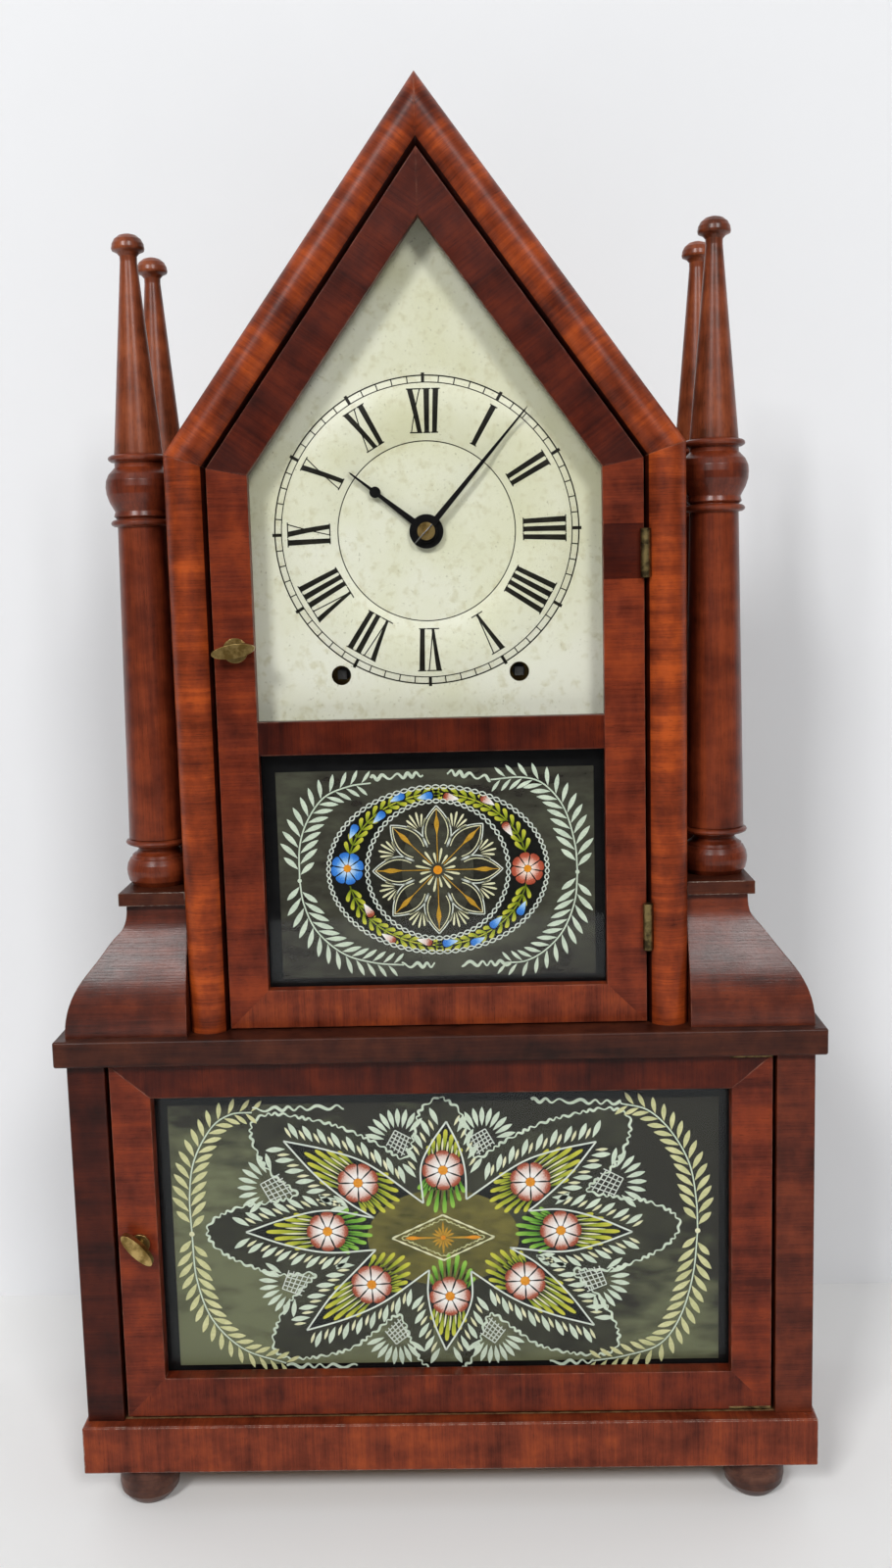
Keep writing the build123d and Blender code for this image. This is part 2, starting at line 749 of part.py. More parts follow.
def upper_door_frame():
    """Two stiles, two rafters and three rails, mitred at the corners and rebated for the glass."""
    back = door_front + door_thickness
    half, inner = door_half_width, door_half_width - door_stile
    tablet_bottom, tablet_top, rail_top = door_levels()
    shoulder_in = door_z(inner, door_rafter)
    stile = outline([(half, door_bottom), (half, door_shoulder), (inner, shoulder_in),
                     (inner, tablet_bottom)])
    rafter = outline([(half, door_shoulder), (0, door_apex), (0, door_z(0, door_rafter)),
                      (inner, shoulder_in)])
    bottom = outline([(-half, door_bottom), (half, door_bottom), (inner, tablet_bottom),
                      (-inner, tablet_bottom)])
    middle = outline(window(inner, tablet_top, rail_top))
    right = [slab(stile, door_front, back), slab(rafter, door_front, back)]
    bars = right + [mirrored(bar) for bar in right]
    bars += [slab(bottom, door_front, back), slab(middle, door_front, back)]
    grow = rebate_depth + glass_play
    pockets = [slab(outline(gable_window(grow)), glass_front - glass_play, back + overrun),
               slab(outline(window(inner + grow, tablet_bottom - grow, tablet_top + grow)),
                    glass_front - glass_play, back + overrun)]
    shaft_hole = disc(upper_knob_x, upper_knob_z, latch_shaft + running, door_front - overrun,
                      back + overrun)
    cuts = pockets + [shaft_hole]
    for z in hinge_feet:
        cuts.append(brick(half - hinge_leaf, half + overrun, hinge_axis_y,
                          hinge_axis_y + hinge_leaf_depth, z, z + hinge_height))
        cuts.append(upright(hinge_axis_x, hinge_axis_y, hinge_knuckle + free_gap, z, z + hinge_height))
    solids = []
    for bar in bars:
        for cut in cuts:
            bar = bar - cut
        solids += bar.solids()
    return solids


def upper_glass():
    return [slab(outline(gable_window(rebate_depth)), glass_front, glass_front + glass_thickness)]


def middle_tablet():
    tablet_bottom, tablet_top, _ = door_levels()
    half = door_half_width - door_stile + rebate_depth
    share_of_rail = min(rebate_depth, (door_mid_rail - 2 * rebate_depth) / 2)
    face = outline(window(half, tablet_bottom - rebate_depth, tablet_top + share_of_rail))
    return [slab(face, glass_front, glass_front + glass_thickness)]


def lower_openings():
    """Half width and heights of the opening in the lower door."""
    return (lower_door_half_width - lower_door_stile, lower_door_bottom + lower_door_rail_bottom,
            lower_door_top - lower_door_rail_top)


def lower_door_frame():
    """Four mitred members with a rebate for the glass and recesses for the pivot leaves."""
    half, inner = lower_door_half_width, lower_openings()[0]
    low, high = lower_door_bottom, lower_door_top
    _, open_low, open_high = lower_openings()
    back = box_front + lower_door_thickness
    stile = outline([(half, low), (half, high), (inner, open_high), (inner, open_low)])
    bottom = outline([(-half, low), (half, low), (inner, open_low), (-inner, open_low)])
    top = outline([(-half, high), (half, high), (inner, open_high), (-inner, open_high)])
    right = slab(stile, box_front, back)
    bars = [right, mirrored(right), slab(bottom, box_front, back), slab(top, box_front, back)]
    grow = rebate_depth + glass_play
    cuts = [slab(outline(window(inner + grow, open_low - grow, open_high + grow)),
                 lower_glass_front - glass_play, back + overrun),
            disc(lower_knob_x, lower_knob_z, latch_shaft + running, box_front - overrun, back + overrun)]
    for z0, z1 in ((low - overrun, low + lower_pivot_leaf), (high - lower_pivot_leaf, high + overrun)):
        cuts.append(brick(half - lower_pivot_leaf_length, half + overrun, box_front - overrun,
                          box_front + lower_pivot_leaf_width, z0, z1))
    solids = []
    for bar in bars:
        for cut in cuts:
            bar = bar - cut
        solids += bar.solids()
    return solids


def lower_tablet():
    half, low, high = lower_openings()
    face = outline(window(half + rebate_depth, low - rebate_depth, high + rebate_depth))
    return [slab(face, lower_glass_front, lower_glass_front + glass_thickness)]


def lower_door_pivots():
    """Brass leaves let into the top and the bottom of the door, each with a pin into the case."""
    x0, x1 = lower_door_half_width - lower_pivot_leaf_length, lower_door_half_width
    y0, y1 = box_front, box_front + lower_pivot_leaf_width
    low, high = lower_door_bottom, lower_door_top
    bottom = brick(x0, x1, y0, y1, low, low + lower_pivot_leaf)
    bottom += upright(lower_pivot_x, lower_pivot_y, lower_pivot_radius,
                      base_top - lower_pivot_depth, low + lower_pivot_leaf)
    top = brick(x0, x1, y0, y1, high - lower_pivot_leaf, high)
    top += upright(lower_pivot_x, lower_pivot_y, lower_pivot_radius,
                   high - lower_pivot_leaf, high + lower_pivot_depth)
    return bottom.solids() + top.solids()


def turn_latch(x, z, front, thickness, rose, tilt):
    """Rose, stem and oval wing in front of the door; a tongue on the same shaft behind it."""
    back = front + thickness
    body = disc(x, z, rose, front - rose_thickness, front)
    body += disc(x, z, latch_shaft, front - knob_stem, back + tongue_thickness + free_gap)
    wing = Pos(x, z) * Rot(0, 0, tilt) * Ellipse(wing_length / 2, wing_height / 2)
    wing_front = front - knob_stem - wing_thickness
    body += slab(wing, wing_front, front - knob_stem + free_gap)
    arm = Pos(x, z + tongue_length / 2) * SlotCenterToCenter(tongue_length, tongue_width, rotation=90)
    body += slab(arm, back + free_gap, back + free_gap + tongue_thickness)
    return body.solids()


def upper_latch():
    return turn_latch(upper_knob_x, upper_knob_z, door_front, door_thickness, upper_rose_radius, upper_tilt)


def lower_latch():
    return turn_latch(lower_knob_x, lower_knob_z, box_front, lower_door_thickness, lower_rose_radius,
                      lower_tilt)


time_great = (winding_x, centre_z - winding_drop)
strike_great = (-winding_x, centre_z - winding_drop)
centre = (0.0, centre_z)


def mesh_distance(teeth, pinion_teeth, module):
    return (teeth + pinion_teeth) * module / 2


time_second = meeting(time_great, mesh_distance(great_teeth, great_pinion_teeth, great_module),
                      centre, mesh_distance(second_teeth, second_pinion_teeth, second_module), 1)
strike_second = (-time_second[0], time_second[1])
third = polar(*centre, mesh_distance(centre_teeth, small_pinion_teeth, centre_module), third_angle)
escape = (0.0, third[1] + math.sqrt(mesh_distance(third_teeth, small_pinion_teeth, third_module) ** 2
                                    - third[0] ** 2))
verge_axis = (0.0, escape[1] + verge_drop)
warning_distance = mesh_distance(strike_second_teeth, warning_pinion_teeth, strike_second_module)
warning = polar(*strike_second, warning_distance, warning_angle)
fly_place = polar(*warning, mesh_distance(warning_teeth, small_pinion_teeth, warning_module), fly_angle)
motion = polar(*centre, mesh_distance(minute_wheel_teeth, cannon_teeth, cannon_module), motion_angle)
hour_module = 2 * mesh_distance(minute_wheel_teeth, cannon_teeth, cannon_module) / (
    hour_wheel_teeth + minute_pinion_teeth)

def toothed(place, teeth, module, front, gap_at, bore=0.0, spokes=4, thickness=wheel_thickness):
    """Flat wheel with tapered teeth; a gap between two teeth points in the direction gap_at."""
    pitch_radius = teeth * module / 2
    root, tip = pitch_radius - dedendum_share * module, pitch_radius + addendum_share * module
    step = 360 / teeth
    points = []
    for i in range(teeth):
        mid = gap_at + (i + 1 / 2) * step
        for radius, share in ((root, -tooth_root_share), (tip, -tooth_tip_share),
                              (tip, tooth_tip_share), (root, tooth_root_share)):
            points.append(polar(*place, radius, mid + share * step / 2))
    wheel = slab(outline(points), front, front + thickness)
    hub, rim = max(bore + 2 * arbor, 3 * arbor), root - rim_share * module
    if spokes and rim > hub + 2 * arbor:
        window_ring = Pos(*place) * (Circle(rim) - Circle(hub))
        for i in range(spokes):
            bar = Rectangle(2 * arbor, 2 * rim).moved(Location((0, 0, 0), (0, 0, i * 180 / spokes)))
            window_ring = window_ring - Pos(*place) * bar
        wheel = wheel - slab(window_ring, front - overrun, front + thickness + overrun)
    if bore:
        wheel = wheel - disc(*place, bore, front - overrun, front + thickness + overrun)
    return wheel


def lantern(place, leaves, module, front, trundle_at, length=pinion_length):
    """Lantern pinion: two end discs and round trundles, centred on the wheel that drives it."""
    pitch_radius = leaves * module / 2
    trundle = trundle_share * math.pi * module
    cheek = length * cheek_share
    outer = pitch_radius + cheek_rim_share * trundle
    middle = front + wheel_thickness / 2
    y0, y1 = middle - length / 2, middle + length / 2
    body = disc(*place, outer, y0, y0 + cheek) + disc(*place, outer, y1 - cheek, y1)
    for i in range(leaves):
        spot = polar(*place, pitch_radius, trundle_at + i * 360 / leaves)
        body += disc(*spot, trundle, y0, y1)
    return body


def spindle(place, front=plate_front, back=back_plate_back, radius=arbor):
    return disc(*place, radius, front, back)


def time_great_wheel():
    """Great wheel, loose on its winding arbor, with a click that the ratchet slips past."""
    wheel = toothed(time_great, great_teeth, great_module, great_wheel_y,
                    heading(time_great, time_second), winding_arbor + running)
    return (wheel + click(time_great, 1)).solids()


def strike_great_wheel():
    wheel = toothed(strike_great, great_teeth, great_module, great_wheel_y,
                    heading(strike_great, strike_second), winding_arbor + running)
    return (wheel + click(strike_great, -1)).solids()


def click(place, side):
    """Small pawl riveted on the back of the great wheel, beside the ratchet."""
    back = great_wheel_y + wheel_thickness
    x = place[0] + side * (ratchet_radius + free_gap + click_width / 2)
    bar = Pos(x, place[1]) * SlotCenterToCenter(click_length, click_width, rotation=90)
    return slab(bar, back, back + wheel_thickness)


def winding_drum(place):
    """Winding arbor with its squared end, ratchet wheel and cord drum."""
    body = disc(*place, winding_arbor, plate_front, back_plate_back)
    square = Pos(*place) * Rectangle(winding_square, winding_square)
    body += slab(square, plate_front - winding_square_length, plate_front)
    ratchet_front = great_wheel_y + wheel_thickness + free_gap
    points = []
    for i in range(ratchet_teeth):
        root_turn = (i + ratchet_rake_share) * 360 / ratchet_teeth
        points.append(polar(*place, ratchet_radius, i * 360 / ratchet_teeth))
        points.append(polar(*place, ratchet_radius - wheel_thickness, root_turn))
    body += slab(outline(points), ratchet_front, ratchet_front + wheel_thickness)
    drum_front = ratchet_front + wheel_thickness
    body += disc(*place, drum_radius, drum_front, drum_front + drum_length)
    flange = drum_radius + 2 * cord_radius
    if flange < ratchet_radius:
        body += disc(*place, flange, drum_front + drum_length - cord_radius, drum_front + drum_length)
    return body.solids()


def time_second_wheel():
    back = heading(time_second, time_great)
    body = spindle(time_second)
    body += toothed(time_second, second_teeth, second_module, second_wheel_y,
                    heading(time_second, centre))
    body += lantern(time_second, great_pinion_teeth, great_module, great_wheel_y, back)
    return body.solids()


def centre_wheel():
    body = spindle(centre, front=minute_hand_front - collet_thickness - hand_thickness / 2)
    body += toothed(centre, centre_teeth, centre_module, centre_wheel_y, heading(centre, third))
    body += lantern(centre, second_pinion_teeth, second_module, second_wheel_y, heading(centre, time_second))
    return body.solids()


def third_wheel():
    body = spindle(third)
    body += toothed(third, third_teeth, third_module, third_wheel_y, heading(third, escape))
    body += lantern(third, small_pinion_teeth, centre_module, centre_wheel_y, heading(third, centre))
    return body.solids()


def escape_wheel():
    """Escape wheel with thirty slender raked teeth."""
    points = []
    step = 360 / escape_teeth
    for i in range(escape_teeth):
        points.append(polar(*escape, escape_radius, i * step))
        for share in (escape_back_share, escape_front_share):
            points.append(polar(*escape, escape_radius * escape_root_share, (i + share) * step))
    wheel = slab(outline(points), escape_wheel_y, escape_wheel_y + wheel_thickness)
    ring = Pos(*escape) * (Circle(escape_radius * escape_window_share) - Circle(3 * arbor))
    for i in range(2):
        bar = Rectangle(2 * arbor, 2 * escape_radius).moved(Location((0, 0, 0), (0, 0, 45 + i * 90)))
        ring = ring - Pos(*escape) * bar
    wheel = wheel - slab(ring, escape_wheel_y - overrun, escape_wheel_y + overrun)
    body = spindle(escape) + wheel
    body += lantern(escape, small_pinion_teeth, third_module, third_wheel_y, heading(escape, third))
    return body.solids()


def verge():
    """Arbor with the bent steel anchor over the escape wheel, and the crutch behind the plates."""
    reach = escape_radius * anchor_reach_share
    tip_z = escape[1] + math.sqrt(escape_radius ** 2 - reach ** 2) + pallet_gap
    crutch_back = pendulum_y - 2 * rod_radius - crutch_radius
    body = disc(*verge_axis, arbor, plate_front, crutch_back)
    low, high = verge_axis[1] - arbor - strap_half, verge_axis[1] - arbor + strap_half
    right = [(reach * anchor_neck_share, low), (reach - pallet_back, tip_z + pallet_back),
             (reach + pallet_tip, tip_z), (reach * anchor_top_share, high)]
    anchor = outline(right + [(-x, z) for x, z in reversed(right)])
    body += slab(anchor, escape_wheel_y - anchor_side, escape_wheel_y + wheel_thickness + anchor_side)
    crutch_low = verge_axis[1] - crutch_length
    body += slab(Pos(0, verge_axis[1] - crutch_length / 2) * Rectangle(2 * crutch_radius, crutch_length),
                 crutch_back - 2 * crutch_radius, crutch_back)
    prong = rod_radius + free_gap
    body += brick(-prong - 2 * crutch_radius, prong + 2 * crutch_radius, crutch_back - 2 * crutch_radius,
                  crutch_back, crutch_low - crutch_radius, crutch_low + crutch_radius)
    for side in (-1, 1):
        body += brick(side * prong, side * (prong + 2 * crutch_radius), crutch_back - crutch_radius,
                      pendulum_y + 2 * rod_radius, crutch_low - crutch_radius, crutch_low + crutch_radius)
    return body.solids()


def pendulum_rod():
    """Thin suspension strip held in the cock, then a wire rod down to the bob."""
    top = verge_axis[1] + strip_length / 2
    body = brick(-strip_thickness / 2, strip_thickness / 2, pendulum_y - strip_width / 2,
                 pendulum_y + strip_width / 2, top - strip_length, top)
    body += upright(0, pendulum_y, rod_radius, bob_z - bob_radius - 2 * nut_height,
                    top - strip_length + rod_radius)
    return body.solids()


def pendulum_bob():
    """Lens-shaped brass bob with a bore for the rod, and the rating nut under it."""
    half = bob_thickness / 2
    swell = half - bob_edge / 2
    ball = (bob_radius ** 2 + swell ** 2) / (2 * swell)
    lens = disc(0, bob_z, bob_radius, pendulum_y - half, pendulum_y + half)
    for side in (-1, 1):
        lens = lens & Pos(0, pendulum_y + side * (ball - half), bob_z) * Sphere(ball)
    bore = upright(0, pendulum_y, rod_radius + running, bob_z - bob_radius - overrun,
                   bob_z + bob_radius + overrun)
    nut_top = bob_z - bob_radius
    nut = upright(0, pendulum_y, nut_radius, nut_top - nut_height, nut_top - running)
    nut = nut - upright(0, pendulum_y, rod_radius, nut_top - overrun, nut_top + overrun)
    return (lens - bore).solids() + nut.solids()


def suspension_cock():
    """Brass post on the back plate, split below to grip the suspension strip."""
    half = cock_width / 2
    top = verge_axis[1] + strip_length / 2
    body = brick(-half, half, back_plate_back, pendulum_y + half, top - strip_length / 4, top + half)
    sway = strip_thickness / 2 + strip_length / 2 * math.sin(math.radians(pendulum_swing)) + free_gap
    slot = brick(-sway, sway, pendulum_y - strip_width / 2 - free_gap, pendulum_y + half + overrun,
                 top - strip_length, top + running)
    return (body - slot).solids()


def minute_hand():
    """Minute hand riveted to its tube, which carries the cannon pinion behind the dial."""
    body = lantern(centre, cannon_teeth, cannon_module, minute_wheel_y, heading(centre, motion),
                   short_pinion_length)
    back = minute_wheel_y + (wheel_thickness + short_pinion_length) / 2
    body += disc(*centre, cannon_radius, minute_hand_front, back)
    blade = leaf_hand(minute_length, minute_angle, minute_half_root, minute_half_tip)
    body += slab(blade + Pos(*centre) * Circle(minute_hub), minute_hand_front,
                 minute_hand_front + hand_thickness)
    body = body - disc(*centre, arbor + leaf_play, minute_hand_front - overrun, back + overrun)
    return body.solids()


def leaf_hand(length, angle, half_root, half_tip):
    """Long tapering blade from the centre, at an angle clockwise from straight up."""
    def spot(along, across):
        x, z = polar(*centre, along, angle)
        return polar(x, z, across, angle + 90)
    return outline([spot(0, -half_root), spot(length * hand_point_share, -half_tip), spot(length, 0),
                    spot(length * hand_point_share, half_tip), spot(0, half_root)])


def hour_hand():
    """Hour hand with a small ball on its blade, on the pipe of the hour wheel."""
    ball = polar(*centre, hour_length * hour_ball_share, hour_angle)
    face = leaf_hand(hour_length, hour_angle, hour_half_root, hour_half_tip)
    face = face + Pos(*ball) * Circle(hour_ball) + Pos(*centre) * Circle(hour_hub)
    body = slab(face, hour_hand_front, hour_hand_front + hand_thickness)
    body = body - disc(*centre, cannon_radius + leaf_play, hour_hand_front - overrun,
                       hour_hand_front + overrun)
    return body.solids()


def hour_wheel():
    body = toothed(centre, hour_wheel_teeth, hour_module, hour_wheel_y, heading(centre, motion), spokes=0)
    body += disc(*centre, hour_pipe_radius, hour_hand_front + hand_thickness, hour_wheel_y)
    body = body - disc(*centre, cannon_radius + leaf_play, hour_hand_front - overrun,
                       hour_wheel_y + overrun)
    return body.solids()


def minute_wheel():
    """Wheel and lantern pinion that turn together on a stud of the front plate."""
    body = toothed(motion, minute_wheel_teeth, cannon_module, minute_wheel_y, heading(motion, centre),
                   arbor + running, spokes=0)
    front = hour_wheel_y - motion_hub_reach
    body += lantern(motion, minute_pinion_teeth, hour_module, hour_wheel_y, heading(motion, centre),
                    minute_pinion_length)
    body += disc(*motion, 2 * arbor, front, minute_wheel_y + wheel_thickness)
    body = body - disc(*motion, arbor + running, front - overrun, minute_wheel_y + overrun)
    return body.solids()


def hand_collet():
    """Brass washer on the front of the minute hand."""
    front = minute_hand_front - collet_thickness
    body = disc(*centre, collet_radius, front, minute_hand_front)
    body = body - disc(*centre, arbor + leaf_play, front - overrun, minute_hand_front + overrun)
    return body.solids()


def strike_second_wheel():
    body = spindle(strike_second)
    body += toothed(strike_second, strike_second_teeth, strike_second_module, strike_second_y,
                    heading(strike_second, warning))
    body += lantern(strike_second, great_pinion_teeth, great_module, great_wheel_y,
                    heading(strike_second, strike_great))
    return body.solids()


def warning_wheel():
    body = spindle(warning)
    body += toothed(warning, warning_teeth, warning_module, warning_wheel_y, heading(warning, fly_place),
                    spokes=2)
    body += lantern(warning, warning_pinion_teeth, strike_second_module, strike_second_y,
                    heading(warning, strike_second))
    return body.solids()


def fly():
    """Two-bladed fan that holds the striking to an even pace."""
    body = spindle(fly_place)
    body += lantern(fly_place, small_pinion_teeth, warning_module, warning_wheel_y,
                    heading(fly_place, warning), short_pinion_length)
    y0 = plate_front_back + fly_inset
    body += brick(fly_place[0] - fly_radius, fly_place[0] + fly_radius, y0, y0 + fly_length,
                  fly_place[1] - hand_thickness / 2, fly_place[1] + hand_thickness / 2)
    return body.solids()


def hammer():
    """Arbor through the plates, a bent wire tail behind them and the hammer head at its end."""
    y = gong_y
    body = disc(hammer_x, hammer_arbor_z, arbor, plate_front, y)
    head_right = gong_left() - free_gap - free_gap
    head_x = head_right - hammer_head_length
    body += upright(hammer_x, y, hammer_arm_radius, gong_z, hammer_arbor_z)
    tip = Pos((head_x + head_right) / 2, y, gong_z) * Rot(0, 90, 0)
    body += tip * Cylinder(hammer_head_radius, hammer_head_length)
    return body.solids()


def gong_radius(turn):
    """Radius of each half turn of the gong, from the middle outwards."""
    return gong_start_radius + turn * gong_pitch / 2


def gong_left():
    """Left edge of the outermost half turn of the gong."""
    place = gong_x
    left = 0.0
    for i in range(gong_half_turn_count):
        left = min(left, place - gong_radius(i) - gong_wire)
        place += gong_pitch / 2 * (1 if i % 2 else -1)
    return left


def gong():
    """Coiled steel wire: half turns that grow by half a pitch each, on two centres."""
    place = gong_x
    edges = []
    inner_end = (place + gong_radius(0), gong_z)
    for i in range(gong_half_turn_count):
        r = gong_radius(i)
        side = 1 if i % 2 == 0 else -1
        edges.append(ThreePointArc((place + side * r, gong_z), (place, gong_z + side * r),
                                   (place - side * r, gong_z)))
        place += side * gong_pitch / 2
    path = Plane.XZ.offset(-gong_y) * Wire(edges)
    spots = [(edge @ (k / gong_step_count), i + k / gong_step_count)
             for i, edge in enumerate(edges) for k in range(gong_step_count)]
    least = min((a - b).length for a, place_a in spots for b, place_b in spots
                if place_b - place_a > 1)
    start = Plane(origin=(inner_end[0], gong_y, gong_z), z_dir=(0, 0, 1))
    coil = sweep(start * Circle(gong_wire), path)
    print("gong: least gap between turns", round(least - 2 * gong_wire, 2), "mm")
    stem = disc(*inner_end, gong_stem, gong_y - gong_wire, inner_back - gong_wire)
    return (coil + stem).solids()


def gong_block():
    """Cast iron foot that holds the inner end of the gong on the back board."""
    x = gong_x + gong_radius(0)
    body = disc(x, gong_z, gong_block_radius, inner_back - gong_wire, inner_back)
    boss = disc(x, gong_z, 3 * gong_wire, gong_y + 3 * gong_wire, inner_back - gong_wire)
    boss = boss - disc(x, gong_z, gong_stem + running, gong_y, inner_back - gong_wire)
    return (body + boss).solids()


def front_plate():
    return plate(plate_front, plate_front_back, True)


def back_plate():
    return plate(back_plate_front, back_plate_back, False)


def pillar_places():
    x = plate_half_width - pillar_inset
    return [(side * x, z) for side in (-1, 1)
            for z in (plate_bottom + pillar_inset, plate_top - pillar_inset)]


def plate(front, back, with_stud):
    """Brass plate with a running hole for every arbor and windows between them."""
    face = outline(window(plate_half_width, plate_bottom, plate_top))
    body = slab(face, front, back)
    holes = [(place, arbor + running) for place in (time_second, strike_second, centre, third, escape,
                                                    verge_axis, warning, fly_place,
                                                    (hammer_x, hammer_arbor_z))]
    holes += [(place, winding_arbor + running) for place in (time_great, strike_great)]
    for place, radius in holes:
        body = body - disc(*place, radius, front - overrun, back + overrun)
    body = fillet(body.edges().filter_by(Axis.Y).group_by(Axis.X)[0], pillar_inset / 2)
    if with_stud:
        body += disc(*motion, arbor, hour_wheel_y - stud_reach, front)
    return body.solids()


def plate_pillars():
    return [disc(*place, pillar_radius, plate_front_back, back_plate_front) for place in pillar_places()]


def movement_blocks():
    """Wooden blocks that carry the movement off the back board."""
    solids = []
    for side in (-1, 1):
        for z in (plate_bottom, plate_top - block_side):
            x0, x1 = side * block_x - block_side / 2, side * block_x + block_side / 2
            solids.append(brick(x0, x1, back_plate_back, inner_back, z, z + block_side))
    return solids


def leaf_radius():
    return (leaf_half_chord ** 2 + leaf_sagitta ** 2) / (2 * leaf_sagitta)


def pack_height():
    return leaf_count * (leaf_thickness + leaf_spacing)


def leaf_spring():
    """Stack of bowed steel leaves, the longest on top, ends up."""
    radius = leaf_radius()
    top = leaf_bottom_z + pack_height()
    middle = top + radius
    solids = []
    for i in range(leaf_count):
        inner = radius + i * (leaf_thickness + leaf_spacing)
        outer = inner + leaf_thickness
        half = math.degrees(math.asin(leaf_half_chord * (1 - leaf_shorter_share * i) / radius))
        low = [polar(0, middle, outer, 180 + a) for a in (-half, 0, half)]
        high = [polar(0, middle, inner, 180 + a) for a in (half, 0, -half)]
        face = make_face([ThreePointArc(*low), Line(low[-1], high[0]), ThreePointArc(*high),
                          Line(high[-1], low[0])])
        solids.append(slab(face, leaf_y - leaf_width / 2, leaf_y + leaf_width / 2))
    return solids


def spring_bracket():
    """Iron saddle on the base board with a strap over the middle of the spring."""
    y0, y1 = leaf_y - leaf_width / 2, leaf_y + leaf_width / 2
    half = clamp_width / 2
    low = brick(-half, half, y0 - clamp_thickness, y1 + clamp_thickness, base_top,
                leaf_bottom_z - leaf_spacing)
    top = leaf_bottom_z + pack_height() + strap_rise
    strap = brick(-half, half, y0 - clamp_thickness, y1 + clamp_thickness, top, top + clamp_thickness)
    sides = ((y0 - clamp_thickness, y0 - leaf_spacing), (y1 + leaf_spacing, y1 + clamp_thickness))
    posts = [brick(-half, half, a, b, leaf_bottom_z - leaf_spacing, top) for a, b in sides]
    ear_offset = lever_thickness / 2 + running
    ears = []
    for a, b in ((leaf_y + ear_offset, leaf_y + ear_offset + clamp_thickness),
                 (leaf_y - ear_offset - clamp_thickness, leaf_y - ear_offset)):
        ears.append(brick(-lever_pivot_x - half / 2, lever_pivot_x + half / 2, a, b,
                          top + clamp_thickness, lever_pivot_z + lever_height / 2))
    body = low + strap
    for piece in posts + ears:
        body += piece
    for side in (-1, 1):
        body += disc(side * lever_pivot_x, lever_pivot_z, lever_pin,
                     leaf_y - ear_offset - clamp_thickness, leaf_y + ear_offset + clamp_thickness)
    return body.solids()


def lever_height_at(x):
    share = (x - lever_pivot_x) / (lever_end_x - lever_pivot_x)
    return lever_pivot_z + share * (lever_end_z - lever_pivot_z)


def spring_levers():
    """Iron arms from the bracket to links on the spring's ends; the drive cords pull on them."""
    angle = math.degrees(math.atan2(lever_end_z - lever_pivot_z, lever_end_x - lever_pivot_x))
    length = math.hypot(lever_end_x - lever_pivot_x, lever_end_z - lever_pivot_z)
    mid = ((lever_pivot_x + lever_end_x) / 2, (lever_pivot_z + lever_end_z) / 2)
    bar = Pos(*mid) * Rot(0, 0, angle) * SlotCenterToCenter(length, lever_height)
    arm = slab(bar, leaf_y - lever_thickness / 2, leaf_y + lever_thickness / 2)
    arm = arm - disc(lever_pivot_x, lever_pivot_z, lever_pin + running, leaf_y - overrun,
                     leaf_y + overrun)
    radius = leaf_radius()
    outside = lever_end_x + lever_pin
    leaf_top = leaf_bottom_z + pack_height() + radius - math.sqrt(radius ** 2 - outside ** 2)
    link = brick(lever_end_x - lever_pin, outside,
                 leaf_y - lever_thickness / 2, leaf_y + lever_thickness / 2,
                 leaf_top + leaf_spacing, lever_end_z)
    right = arm + link
    return right.solids() + mirrored(right).solids()


def drive_cords():
    """Cord from each drum straight down to its lever, tangent to the drum."""
    x = winding_x + drum_radius + free_gap + cord_radius
    rise = lever_end_z - lever_pivot_z
    slant = math.hypot(1, rise / (lever_end_x - lever_pivot_x))
    low = lever_height_at(x + cord_radius) + lever_height / 2 * slant
    return [upright(side * x, leaf_y, cord_radius, low, centre_z - winding_drop) for side in (-1, 1)]


def time_drum():
    return winding_drum(time_great)


def strike_drum():
    return winding_drum(strike_great)


def case_hinges():
    return hinge_leaves(False)


def door_hinges():
    return hinge_leaves(True)


def ogee_shoulders():
    right = ogee_shoulder_right()
    return right + [mirrored(solid) for solid in right]


nodes = [
    bun_feet, base_board, base_mouldings, lower_sides, lower_back_board, lower_stiles, cornice_board,
    ogee_shoulders, column_shelves, columns, steeple_finials, upper_sides, roof_boards, upper_back_board,
    stile_mouldings, roof_mouldings, dial_cleats, dial, case_hinges, door_hinges, upper_door_frame,
    upper_glass, middle_tablet, upper_latch, lower_door_frame, lower_tablet, lower_door_pivots,
    lower_latch, hour_hand, minute_hand, hand_collet, front_plate, back_plate, plate_pillars,
    movement_blocks, suspension_cock, time_great_wheel, strike_great_wheel, time_drum,
    strike_drum, time_second_wheel, centre_wheel, third_wheel, escape_wheel, verge, pendulum_rod,
    pendulum_bob, minute_wheel, hour_wheel, strike_second_wheel, warning_wheel, fly, hammer, gong,
    gong_block, leaf_spring, spring_bracket, spring_levers, drive_cords,
]
named = [(build.__name__, build) for build in nodes]

os.makedirs("parts", exist_ok=True)
for name, build in named:
    solids = list(build())
    shape = solids[0] if len(solids) == 1 else Compound(children=solids)
    export_step(shape, "parts/" + name + ".step")
print(len(named), "nodes written")
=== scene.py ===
import math
from functools import partial

import bpy
import numpy as np
from mathutils import Matrix, Vector


